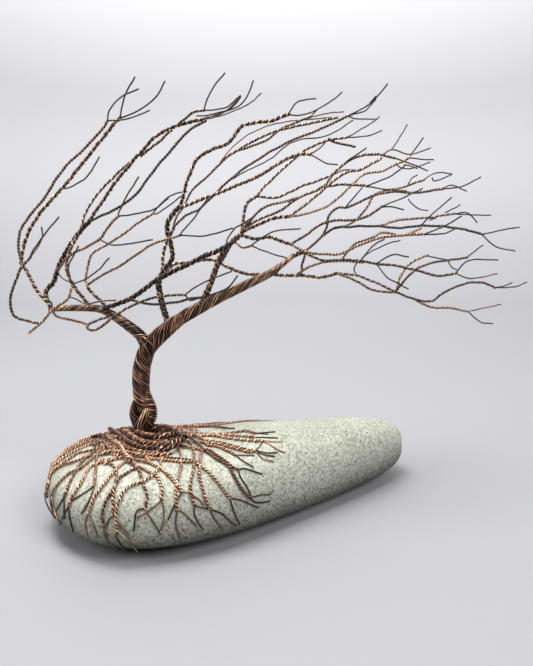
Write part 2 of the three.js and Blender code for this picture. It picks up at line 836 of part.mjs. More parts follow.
addBranch("right_long_branch", ["right_upper_branch"], [
  [
    PAIR,
    [58.4, 66, 3.8],
    [63.3, 69, 7],
    [68.3, 69.5, 8],
    [78.3, 69.7, 9],
    [85, 69, 10],
    [92.7, 69.7, 10],
    [100.3, 69.3, 11],
    [107, 68.5, 12],
    [113, 66.7, 12],
  ],
  [WIRE, [112.5, 66.8, 12], [118.3, 68.3, 13], [124.7, 69.3, 14]],
  [WIRE, [112.5, 66.8, 12], [116.7, 63, 13], [123.3, 61.3, 14]],
  [WIRE, [92.2, 69.7, 10], [95.7, 73.7, 10], [102.3, 79.3, 11]],
]);
addBranch("right_far_twig", ["right_long_branch"], [
  [
    PAIR,
    [62.8, 68.8, 6.9],
    [68.3, 70.3, 14],
    [71.3, 72.7, 17],
    [74.3, 76.3, 20],
    [77.3, 80.6, 23],
    [86.7, 82.8, 27],
    [93.3, 85.3, 28],
  ],
  [WIRE, [92.8, 85.1, 28], [97, 87.3, 29], [102.3, 87, 31]],
]);
addBranch("right_hind_twig", ["right_long_branch"], [
  [PAIR, [77.8, 69.7, 9], [83.3, 71.3, 16], [86.7, 72, 20], [95.7, 72.7, 24], [103.3, 73.7, 26]],
  [WIRE, [102.8, 73.6, 26], [107.5, 74, 28], [110.7, 70.7, 30]],
  [WIRE, [102.8, 73.6, 26], [115.3, 73.2, 31]],
]);
addBranch("right_level_branch", ["right_upper_branch", "cluster_low_branch"], [
  [
    PAIR,
    [52.9, 61, 2.6],
    [58.3, 58.4, -1],
    [65, 58.4, -2],
    [71, 58.1, -2],
    [77.7, 57, -2],
    [84.3, 56.3, -1],
    [90.3, 55, 1],
    [98.3, 53, 3],
    [104, 54.3, 4],
  ],
  [WIRE, [77.2, 57.1, -2], [82.3, 60, -6], [88, 59.3, -9]],
  [WIRE, [77.2, 57.1, -2], [80.7, 52.7, -6], [88, 48.7, -9]],
  [WIRE, [103.5, 54.1, 4], [107.7, 58, 4], [117.7, 58.3, 5]],
  [WIRE, [103.5, 54.1, 4], [108.3, 52.3, 5], [117.3, 53.7, 7]],
]);
addBranch("right_short_twig", ["right_lower_branch", "right_level_branch"], [
  [PAIR, [50, 53, 5], [55, 56, 3], [60, 57.7, 2], [66.7, 58, 2], [73.3, 57.7, 2]],
]);
addBranch("right_rising_twig", ["right_level_branch", "right_long_branch"], [
  [
    PAIR,
    [65.7, 58.4, -2],
    [68.3, 62.2, -1],
    [71, 64.3, -1],
    [76, 66, 0],
    [79.3, 67.5, 2],
    [86, 66.5, 4],
    [92, 69, 9],
  ],
]);

// Roots: a coil round the foot, laid on the pebble, and the pairs that run out from it

function coil() {
  const corners = [
    new THREE.Vector2(COIL_HOLE, 0),
    new THREE.Vector2(COIL_RIM, 0),
    new THREE.Vector2(COIL_RIM, COIL_HEIGHT * COIL_EDGE),
    new THREE.Vector2(COIL_MIDDLE, COIL_HEIGHT * COIL_SHOULDER),
    new THREE.Vector2(COIL_HOLE, COIL_HEIGHT),
    new THREE.Vector2(COIL_HOLE, 0),
  ];
  const ring = new THREE.LatheGeometry(corners, 18).rotateX(Math.PI / 2);
  const position = ring.attributes.position;
  for (let i = 0; i < position.count; i++) {
    const away = (Math.hypot(position.getX(i), position.getY(i)) - COIL_HOLE) / (COIL_RIM - COIL_HOLE);
    const x = FOOT.x + position.getX(i) + away * COIL_CENTRE.x;
    const y = FOOT.y + position.getY(i) + away * COIL_CENTRE.y;
    const surface = pebbleTop(x, y, GAP);
    position.setXYZ(i, x, y, surface.z + position.getZ(i));
  }
  return solidOf(ring);
}

function root(view, route) {
  const sketch = new THREE.SplineCurve(route.map(([x, z]) => new THREE.Vector2(x, z)));
  const lift = ROOT_CLEARANCE + PAIR;
  const first = layOnPebble(view.eye, sightLine(view, ...route[0]), lift);
  const outward = new THREE.Vector2(
    first.x - FOOT.x - COIL_CENTRE.x,
    first.y - FOOT.y - COIL_CENTRE.y,
  ).setLength(COIL_MIDDLE + 1);
  const start = pebbleTop(
    FOOT.x + COIL_CENTRE.x + outward.x,
    FOOT.y + COIL_CENTRE.y + outward.y,
    lift,
  );
  const steps = Math.ceil(sketch.getLength() / ROOT_STEP);
  const points = [start];
  for (const { x, y } of sketch.getSpacedPoints(steps)) {
    const point = layOnPebble(view.eye, sightLine(view, x, y), lift);
    if (point.distanceTo(points.at(-1)) > ROOT_STEP / 2) {
      points.push(point);
    }
  }
  return tube(points, () => PAIR, 3, ROOT_STEP);
}

const FRONT_ROOTS = [
  [[-13.3, 0], [-18.3, -1.3], [-23.3, -3.3], [-28.3, -6.3], [-31, -9.3], [-32.3, -14], [-33.3, -19.5]],
  [[-15, -2], [-20, -3.7], [-24.7, -6], [-28.3, -8.3], [-31, -11], [-32, -14.3]],
  [[-11.7, -5.7], [-20, -7.3], [-28.3, -10.3], [-32.3, -15], [-33.3, -19.7]],
  [[-16, -5], [-20.3, -8], [-23.7, -13], [-25.3, -16], [-27, -20.7]],
  [[-16, -6.2], [-21.7, -11.2], [-25.3, -12.5], [-28.3, -15.3], [-31.3, -20.3]],
  [[-10, -8], [-17.3, -10], [-20.7, -14.7], [-23.3, -19], [-25.7, -24]],
  [[-15.7, -5], [-16.3, -9.7], [-16.8, -15], [-17.3, -17.3]],
  [[-4.7, -8.3], [-8.3, -10], [-10.8, -12.7], [-14, -16.7], [-17, -20.8], [-18.8, -26]],
  [[-13.7, -9.5], [-10.3, -10.5], [-9.7, -14.3], [-10.7, -19.7], [-10.7, -26.7]],
  [[-3.3, -10.7], [-6.3, -12.8], [-10, -17], [-13.3, -22.7], [-14.3, -27.7], [-13.8, -31]],
  [[5.7, -5.2], [5, -9.7], [1.7, -14.1], [-5.3, -17], [-8.3, -21], [-9.8, -27.3], [-9.3, -32]],
  [[-5.8, -8.7], [-2.7, -10.7], [-1, -15], [0.7, -19.7], [0, -24.8]],
  [[-3, -10], [1.7, -12.5], [5, -15.7], [5.5, -21.7]],
  [[1.7, -9.3], [5, -10.8], [8.3, -13.8], [12.5, -18.9]],
  [[10.7, -3.2], [12, -10.5], [10.2, -18.7], [10.7, -25]],
  [[15.2, -2.7], [16.3, -10.7], [15, -17.3], [16.7, -23.5]],
  [[18.6, -5], [18.1, -13.8], [19.3, -18], [21.7, -24.7]],
  [[1.7, -7.7], [12.2, -8.7], [20, -11.1], [26.5, -18.6], [28.3, -21]],
  [[20, -5.1], [28, -10.2], [32.5, -18.3], [35, -21]],
  [[21.3, -5], [25.6, -7.8], [31.2, -11.5]],
  [[20.7, -3.3], [24.3, -3.7], [30.3, -6.7]],
  [[20, -1.7], [25, -2.3], [30.3, -3.7], [36.3, -5]],
  [[16.7, 0.7], [26.5, 0.4], [31.6, 1.3], [36.7, 0.6]],
  [[22.3, 0], [27.7, -1], [33, -1.7], [40, -2]],
];
const BACK_ROOTS = [
  [[-16, -2], [-22, -6], [-27, -12], [-29, -18]],
  [[-12, -4], [-16, -10], [-19, -16], [-18, -22]],
  [[-6, -5], [-9, -11], [-13, -17], [-12, -24]],
  [[0, -6], [-2, -12], [-5, -19], [-3, -25]],
  [[6, -6], [5, -13], [8, -19], [6, -25]],
  [[11, -5], [14, -11], [15, -18], [19, -23]],
  [[16, -4], [21, -9], [24, -14], [29, -19]],
  [[20, -2], [27, -5], [32, -9], [38, -12]],
];

const roots = [coil()];
for (const route of FRONT_ROOTS) {
  roots.push(root(FRONT, route));
}
for (const route of BACK_ROOTS) {
  roots.push(root(BEHIND, route));
}
addMesh("roots", join(roots).subtract(grownSolids.trunk), COPPER);

export default tree;
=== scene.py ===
import math
import random

import bmesh
import bpy
import numpy as np
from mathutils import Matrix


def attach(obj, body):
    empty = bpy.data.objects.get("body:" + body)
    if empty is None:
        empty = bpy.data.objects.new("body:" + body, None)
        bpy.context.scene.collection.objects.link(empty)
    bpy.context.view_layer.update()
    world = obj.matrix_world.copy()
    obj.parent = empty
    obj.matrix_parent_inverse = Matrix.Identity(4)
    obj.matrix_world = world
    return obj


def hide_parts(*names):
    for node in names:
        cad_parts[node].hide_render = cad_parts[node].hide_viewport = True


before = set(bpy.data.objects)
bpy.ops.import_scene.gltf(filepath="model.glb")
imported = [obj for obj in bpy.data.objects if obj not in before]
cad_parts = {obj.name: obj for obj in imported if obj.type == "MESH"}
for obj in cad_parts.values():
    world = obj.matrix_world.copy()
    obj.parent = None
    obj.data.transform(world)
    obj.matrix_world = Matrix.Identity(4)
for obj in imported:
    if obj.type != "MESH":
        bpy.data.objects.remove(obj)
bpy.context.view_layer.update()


# --- Where it stands ------------------------------------------------------------------------
# A pale table that sweeps up into a pale wall all round, soft light from an overhead panel, two
# windows and a lamp aimed at the wall, and the eye of someone in front, looking slightly down.

MM = 0.001
FOOT = np.array((-32.5, -7, 23.2))  # middle of the trunk's foot, on the pebble's crown
EYE_REACH = 200
EYE_DIP = math.radians(7.7)
EYE_ACROSS = 40.5
EYE_UP = 34
EYE_LENS = 32.43


def eye_and_axes(side):
    forward = np.array((0, side * math.cos(EYE_DIP), -math.sin(EYE_DIP)))
    up = np.array((0, side * math.sin(EYE_DIP), math.cos(EYE_DIP)))
    eye = FOOT + np.array((EYE_ACROSS, 0, 0)) + up * EYE_UP - forward * EYE_REACH
    return eye, forward, up


FRONT = eye_and_axes(1)
BEHIND = eye_and_axes(-1)


def linear(hex_colour, alpha=1):
    """A paint-chart colour such as #a9aea1 as the linear values that a shader takes."""
    parts = [int(hex_colour[i:i + 2], 16) / 255 for i in (1, 3, 5)]
    return [p / 12.92 if p <= 0.04045 else ((p + 0.055) / 1.055) ** 2.4 for p in parts] + [alpha]


def add_node(tree, kind, **fields):
    """A node of that kind, with its fields set; a field that names an input sets its value."""
    node = tree.nodes.new(kind)
    for name, value in fields.items():
        if hasattr(node, name):
            setattr(node, name, value)
        else:
            feed(tree, value, node.inputs[name.replace("_", " ")])
    return node


def feed(tree, value, socket):
    """Links an output to a socket, or sets the socket where the value is a plain one."""
    if isinstance(value, bpy.types.NodeSocket):
        tree.links.new(value, socket)
    else:
        socket.default_value = value


def new_material(name):
    """A material with its tree, its Principled shader and its object coordinates."""
    material = bpy.data.materials.new(name)
    material.use_nodes = True
    tree = material.node_tree
    shader = tree.nodes["Principled BSDF"]
    place = add_node(tree, "ShaderNodeTexCoord").outputs["Object"]
    return material, tree, shader, place


TABLE_RADIUS = 0.85
SWEEP = 0.45
SWEEP_STEPS = 16
TABLE_SIDES = 96
WALL_HEIGHT = 1.5
PALE = linear("#8e8e91")


def pale_table():
    profile = [(0.0, 0.0), (TABLE_RADIUS, 0.0)]
    for i in range(1, SWEEP_STEPS + 1):
        angle = i / SWEEP_STEPS * math.pi / 2
        profile.append((TABLE_RADIUS + SWEEP * math.sin(angle), SWEEP * (1 - math.cos(angle))))
    profile.append((TABLE_RADIUS + SWEEP, WALL_HEIGHT))
    mesh = bmesh.new()
    rings = []
    for radius, height in profile:
        ring = []
        for i in range(TABLE_SIDES):
            angle = i / TABLE_SIDES * 2 * math.pi
            ring.append(mesh.verts.new((radius * math.cos(angle), radius * math.sin(angle), height)))
        rings.append(ring)
    for low, high in zip(rings, rings[1:]):
        for i in range(TABLE_SIDES):
            j = (i + 1) % TABLE_SIDES
            mesh.faces.new((low[i], high[i], high[j], low[j]))
    bmesh.ops.remove_doubles(mesh, verts=mesh.verts, dist=1e-6)
    data = bpy.data.meshes.new("table")
    mesh.to_mesh(data)
    mesh.free()
    data.shade_smooth()
    table = bpy.data.objects.new("table", data)
    bpy.context.scene.collection.objects.link(table)
    material, tree, shader, place = new_material("pale matt board")
    shader.inputs["Base Color"].default_value = PALE
    shader.inputs["Roughness"].default_value = 0.6
    data.materials.append(material)


def panel_light(name, place, size, power, target=(0, 0, 0.06)):
    light = bpy.data.lights.new(name, "AREA")
    light.shape = "RECTANGLE"
    light.size, light.size_y = size
    light.energy = power
    panel = bpy.data.objects.new(name, light)
    panel.location = place
    aim = np.array(target) - np.array(place)
    flat = math.hypot(aim[0], aim[1])
    panel.rotation_euler = (math.atan2(flat, -aim[2]), 0, math.atan2(-aim[0], aim[1]))
    bpy.context.scene.collection.objects.link(panel)


def seat_camera():
    camera = bpy.data.objects.new("camera", bpy.data.cameras.new("camera"))
    camera.data.lens = EYE_LENS
    camera.data.clip_start = 0.01
    camera.location = FRONT[0] * MM
    camera.rotation_euler = (math.pi / 2 - EYE_DIP, 0, 0)
    bpy.context.scene.collection.objects.link(camera)
    bpy.context.scene.camera = camera


pale_table()
panel_light("overhead panel", (-0.1, -0.05, 0.7), (0.4, 0.3), 6.3)
panel_light("left window", (-0.6, -0.3, 0.45), (0.25, 0.35), 3.4)
panel_light("right window", (0.5, -0.5, 0.55), (0.3, 0.4), 6)
panel_light("wall washer", (0, 0.55, 1.2), (1.4, 0.3), 36, (0, 1.3, 0.75))
world = bpy.data.worlds.new("room")
world.use_nodes = True
world.node_tree.nodes["Background"].inputs["Color"].default_value = linear("#f2f4f8")
world.node_tree.nodes["Background"].inputs["Strength"].default_value = 0.4
bpy.context.scene.world = world
bpy.context.scene.view_settings.view_transform = "Standard"
seat_camera()


# --- The pebble -----------------------------------------------------------------------------
# A sea-worn pebble of grey-green sandstone, shaped like a flattened egg and standing on its own
# flat underside. The sea left its skin matt, speckled with dark and pale grains, and pitted.

PEBBLE_CENTRE = (1.1, -1.7)
PEBBLE_HALF_LENGTH = 64.3
PEBBLE_HALF_WIDTH = 29.3
PEBBLE_TOP = 14.4  # height of the crown over the widest level
PEBBLE_LEVEL = 10.2  # the widest level, over the table
PEBBLE_BOTTOM = 10.7
PEBBLE_TAPER = 0.6  # how much narrower the far end is
PEBBLE_FULLNESS = 0.32  # how much fuller than an ellipse both ends are
PEBBLE_LEAN = 0.34  # how much lower the back of the crown is
PEBBLE_FALL = 0.06  # how much lower the far end of the crown is
PEBBLE_TURN = math.radians(25.5)
PLAN_POWER = 2
PROFILE_POWER = 3.2
PEBBLE_AROUND = 288
PEBBLE_RISE = 120
GRAINS = 1500  # to a metre, as the pits and clouds are
FINE_PITS = 2600
PITS = 1300
BROAD_CLOUDS = 55
PAINTED_SHADE_FROM = 0.003  # metres over the table, where the painted shade low on the pebble is full
PAINTED_SHADE_TO = 0.023
PIT_DEPTH = 0.001
SPECKED_ABOVE = 0.55  # how strongly the dark specks show on the crown
SPECKED_MORE = 0.45  # and how much more they do low down


def work_out(tree, operation, first, second=0.0):
    node = add_node(tree, "ShaderNodeMath", operation=operation)
    feed(tree, first, node.inputs[0])
    feed(tree, second, node.inputs[1])
    return node.outputs[0]


def ramp(tree, value, stops):
    """A colour ramp from (place, colour) stops."""
    node = add_node(tree, "ShaderNodeValToRGB")
    feed(tree, value, node.inputs[0])
    band = node.color_ramp
    while len(band.elements) < len(stops):
        band.elements.new(1)
    for element, (place, colour) in zip(band.elements, stops):
        element.position = place
        element.color = colour
    return node.outputs["Color"]


def grey(value):
    return (value, value, value, 1)


def noise(tree, place, scale, detail=2.0, roughness=0.5):
    node = add_node(tree, "ShaderNodeTexNoise", Vector=place)
    node.inputs["Scale"].default_value = scale
    node.inputs["Detail"].default_value = detail
    node.inputs["Roughness"].default_value = roughness
    return node.outputs["Fac"]


def signed_power(value, power):
    return np.sign(value) * np.abs(value) ** power


def half_width(along):
    return PEBBLE_HALF_WIDTH * (1 - PEBBLE_TAPER * along + PEBBLE_FULLNESS * along ** 2)


def crown_height(along, across):
    return PEBBLE_TOP * (1 - PEBBLE_LEAN * across - PEBBLE_FALL * along)


def pebble_mesh():
    around = np.arange(PEBBLE_AROUND) / PEBBLE_AROUND * 2 * math.pi
    rise = np.linspace(-math.pi / 2, math.pi / 2, PEBBLE_RISE + 1)[1:-1]
    angle, climb = np.meshgrid(around, rise)
    reach = np.cos(climb) ** (2 / PROFILE_POWER)
    along = reach * signed_power(np.cos(angle), 2 / PLAN_POWER)
    across = reach * signed_power(np.sin(angle), 2 / PLAN_POWER)
    u = PEBBLE_HALF_LENGTH * along
    w = half_width(along) * across
    half = np.where(climb > 0, crown_height(along, across), PEBBLE_BOTTOM)
    z = PEBBLE_LEVEL + half * signed_power(np.sin(climb), 2 / PROFILE_POWER)
    x = PEBBLE_CENTRE[0] + u * math.cos(PEBBLE_TURN) - w * math.sin(PEBBLE_TURN)
    y = PEBBLE_CENTRE[1] + u * math.sin(PEBBLE_TURN) + w * math.cos(PEBBLE_TURN)
    rings = np.stack((x, y, np.maximum(z, 0)), -1).reshape(-1, 3)
    poles = [(*PEBBLE_CENTRE, 0), (*PEBBLE_CENTRE, PEBBLE_LEVEL + PEBBLE_TOP)]
    faces = []
    for row in range(PEBBLE_RISE - 2):
        for i in range(PEBBLE_AROUND):
            j = (i + 1) % PEBBLE_AROUND
            low, high = row * PEBBLE_AROUND, (row + 1) * PEBBLE_AROUND
            faces.append((low + i, low + j, high + j, high + i))
    bottom = len(rings)
    last = (PEBBLE_RISE - 2) * PEBBLE_AROUND
    for i in range(PEBBLE_AROUND):
        j = (i + 1) % PEBBLE_AROUND
        faces.append((bottom, j, i))
        faces.append((bottom + 1, last + i, last + j))
    mesh = bpy.data.meshes.new("pebble_stone")
    mesh.from_pydata((np.vstack((rings, poles)) * MM).tolist(), [], faces)
    mesh.shade_smooth()
    return mesh


def sandstone():
    material, tree, shader, place = new_material("grey-green sandstone")
    grains = add_node(tree, "ShaderNodeTexVoronoi", Vector=place)
    grains.inputs["Scale"].default_value = GRAINS
    fine = noise(tree, place, FINE_PITS, 3, 0.6)
    middling = noise(tree, place, PITS, 4, 0.7)
    broad = noise(tree, place, BROAD_CLOUDS, 3, 0.5)
    tints = ramp(tree, grains.outputs["Color"], [
        (0.0, linear("#8c9086")),
        (0.2, linear("#c0c3b4")),
        (0.5, linear("#d9dbcb")),
        (0.8, linear("#e8e9db")),
        (1.0, linear("#fbfbf3")),
    ])
    clouds = ramp(tree, broad, [(0.3, linear("#e4e4de")), (0.7, linear("#ffffff"))])
    specks = ramp(tree, middling, [(0.36, linear("#565a55")), (0.46, linear("#ffffff"))])
    salt = ramp(tree, fine, [(0.62, grey(0)), (0.72, grey(1))])
    tinted = add_node(tree, "ShaderNodeMix", data_type="RGBA", blend_type="MULTIPLY")
    tinted.inputs[0].default_value = 1
    feed(tree, tints, tinted.inputs[6])
    feed(tree, clouds, tinted.inputs[7])
    # Painted shade: the colour darkens towards the table and stands in for the shade low on the pebble's
    # sides. The same height mask also lets more dark specks of grain show low down.
    height = add_node(tree, "ShaderNodeSeparateXYZ")
    feed(tree, place, height.inputs[0])
    shade = add_node(tree, "ShaderNodeMapRange", interpolation_type="SMOOTHSTEP")
    feed(tree, height.outputs["Z"], shade.inputs["Value"])
    shade.inputs["From Min"].default_value = PAINTED_SHADE_FROM
    shade.inputs["From Max"].default_value = PAINTED_SHADE_TO
    low_shade_and_grit = work_out(tree, "SUBTRACT", 1, shade.outputs["Result"])
    specked = add_node(tree, "ShaderNodeMix", data_type="RGBA", blend_type="MULTIPLY")
    more = work_out(tree, "MULTIPLY", low_shade_and_grit, SPECKED_MORE)
    feed(tree, work_out(tree, "ADD", SPECKED_ABOVE, more), specked.inputs[0])
    feed(tree, tinted.outputs[2], specked.inputs[6])
    feed(tree, specks, specked.inputs[7])
    salted = add_node(tree, "ShaderNodeMix", data_type="RGBA")
    feed(tree, work_out(tree, "MULTIPLY", salt, 0.55), salted.inputs[0])
    feed(tree, specked.outputs[2], salted.inputs[6])
    salted.inputs[7].default_value = linear("#e9ebe2")
    # painted shade low on the pebble, multiplied in towards the table
    painted_low_shade = add_node(tree, "ShaderNodeMix", data_type="RGBA", blend_type="MULTIPLY")
    feed(tree, work_out(tree, "POWER", low_shade_and_grit, 2), painted_low_shade.inputs[0])
    feed(tree, salted.outputs[2], painted_low_shade.inputs[6])
    painted_low_shade.inputs[7].default_value = linear("#6c6c6b")
    feed(tree, painted_low_shade.outputs[2], shader.inputs["Base Color"])
    feed(tree, ramp(tree, middling, [(0.3, grey(0.9)), (0.7, grey(0.6))]), shader.inputs["Roughness"])
    bump = add_node(tree, "ShaderNodeBump")
    bump.inputs["Strength"].default_value = 1
    bump.inputs["Distance"].default_value = PIT_DEPTH
    shallow = work_out(tree, "MULTIPLY", fine, 0.4)
    feed(tree, work_out(tree, "ADD", middling, shallow), bump.inputs["Height"])
    feed(tree, bump.outputs["Normal"], shader.inputs["Normal"])
    return material


stone_mesh = pebble_mesh()
stone_mesh.materials.append(sandstone())
pebble = bpy.data.objects.new("pebble_stone", stone_mesh)
bpy.context.scene.collection.objects.link(pebble)
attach(pebble, "root")
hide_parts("pebble")


# --- The trunk ------------------------------------------------------------------------------
# About a hundred soft copper wires, half a millimetre thick and antiqued dark brown, laid side
# by side and twisted left-handed. At the foot they part into four bundles, and each goes its way
# into the coil. The bare copper shows where the patina has rubbed off the crests, and the crests
# are also lightened as painted highlight; the hollows and the filled middle are darkened, partly
# as patina and partly as painted shade.

WIRE_RADIUS = 0.25
SIDES = 5
CORE_SIDES = 10
CORE_GAP = 0.24  # how far the filled middle stays below the wires' own centres
VALLEY_RISE = 0.06  # how far above those centres the patina begins to rub off and the painted shade of the hollows gives way
BENDS = 190  # to a metre, as left by the fingers
STRAND_WANDER = 160  # to a metre
STRAND_STRIDE = 7.3  # keeps one strand's wander apart from the next one's
BLOTCHES = 420  # to a metre, as the grain is
FINE_GRAIN = 3200
THIN_PATINA = 0.43  # up to here the rubbed copper stays bright
THICK_PATINA = 0.5  # from here on it is browned


def spot(x, z, depth):
    """The point that the eye sees at x across and z up on the sighting board at the trunk's
    foot, and that lies depth behind the board."""
    eye, forward, up = FRONT
    line = forward * EYE_REACH + up * (z - EYE_UP) + np.array((x - EYE_ACROSS, 0, 0))
    return eye + line * ((FOOT[1] + depth - eye[1]) / line[1])


def field(tree, name, data_type="FLOAT"):
    node = add_node(tree, "GeometryNodeInputNamedAttribute", data_type=data_type)
    node.inputs["Name"].default_value = name
    return node.outputs["Attribute"]


def keep(tree, geometry, name, value, data_type="FLOAT"):
    node = add_node(tree, "GeometryNodeStoreNamedAttribute", data_type=data_type, domain="POINT")
    feed(tree, geometry, node.inputs["Geometry"])
    node.inputs["Name"].default_value = name
    feed(tree, value, node.inputs["Value"])
    return node.outputs["Geometry"]


def vector_sum(tree, operation, first, second):
    node = add_node(tree, "ShaderNodeVectorMath", operation=operation)
    feed(tree, first, node.inputs[0])
    feed(tree, second, node.inputs["Scale" if operation == "SCALE" else 1])
    return node.outputs["Value" if operation in ("LENGTH", "DISTANCE") else "Vector"]


def strand_group():
    """Node group: copies each line, and winds the copies round it left-handed."""
    tree = bpy.data.node_groups.new("lay strands", "GeometryNodeTree")
    sockets = tree.interface
    sockets.new_socket("Lines", in_out="INPUT", socket_type="NodeSocketGeometry")
    sockets.new_socket("Count", in_out="INPUT", socket_type="NodeSocketInt")
    for name in ("Distance", "Turned", "Pitch", "Looseness"):
        sockets.new_socket(name, in_out="INPUT", socket_type="NodeSocketFloat")
    sockets.new_socket("Strands", in_out="OUTPUT", socket_type="NodeSocketGeometry")
    given = add_node(tree, "NodeGroupInput").outputs
    copies = add_node(tree, "GeometryNodeDuplicateElements", domain="SPLINE")
    feed(tree, given["Lines"], copies.inputs["Geometry"])
    feed(tree, given["Count"], copies.inputs["Amount"])
    place = add_node(tree, "GeometryNodeInputPosition").outputs["Position"]
    heart = keep(tree, copies.outputs["Geometry"], "heart", place, "FLOAT_VECTOR")
    number = copies.outputs["Duplicate Index"]
    along = add_node(tree, "GeometryNodeSplineParameter").outputs["Length"]
    share = work_out(tree, "DIVIDE", number, given["Count"])
    turns = work_out(tree, "ADD", share, work_out(tree, "DIVIDE", along, given["Pitch"]))
    wander = add_node(tree, "ShaderNodeTexNoise", noise_dimensions="1D")
    strides = work_out(tree, "MULTIPLY", along, STRAND_WANDER)
    apart = work_out(tree, "MULTIPLY", number, STRAND_STRIDE)
    feed(tree, work_out(tree, "ADD", strides, apart), wander.inputs["W"])
    wander.inputs["Scale"].default_value = 1
    drift = add_node(tree, "ShaderNodeSeparateXYZ")
    centred = vector_sum(tree, "SUBTRACT", wander.outputs["Color"], (0.5, 0.5, 0.5))
    feed(tree, vector_sum(tree, "SCALE", centred, given["Looseness"]), drift.inputs[0])
    turns = work_out(tree, "ADD", turns, drift.outputs[0])
    angle = work_out(tree, "ADD", work_out(tree, "MULTIPLY", turns, 2 * math.pi), given["Turned"])
    normal = add_node(tree, "GeometryNodeInputNormal").outputs["Normal"]
    tangent = add_node(tree, "GeometryNodeInputTangent").outputs["Tangent"]
    side = vector_sum(tree, "CROSS_PRODUCT", normal, tangent)
    ahead = vector_sum(tree, "SCALE", normal, work_out(tree, "COSINE", angle))
    aside = vector_sum(tree, "SCALE", side, work_out(tree, "SINE", angle))
    outward = vector_sum(tree, "ADD", ahead, aside)
    swell = work_out(tree, "ADD", 1, drift.outputs[1])
    reach = work_out(tree, "MULTIPLY", given["Distance"], swell)
    move = add_node(tree, "GeometryNodeSetPosition")
    feed(tree, heart, move.inputs["Geometry"])
    feed(tree, vector_sum(tree, "SCALE", outward, reach), move.inputs["Offset"])
    made = add_node(tree, "NodeGroupOutput")
    feed(tree, move.outputs["Geometry"], made.inputs["Strands"])
    return tree


LAY_STRANDS = strand_group()


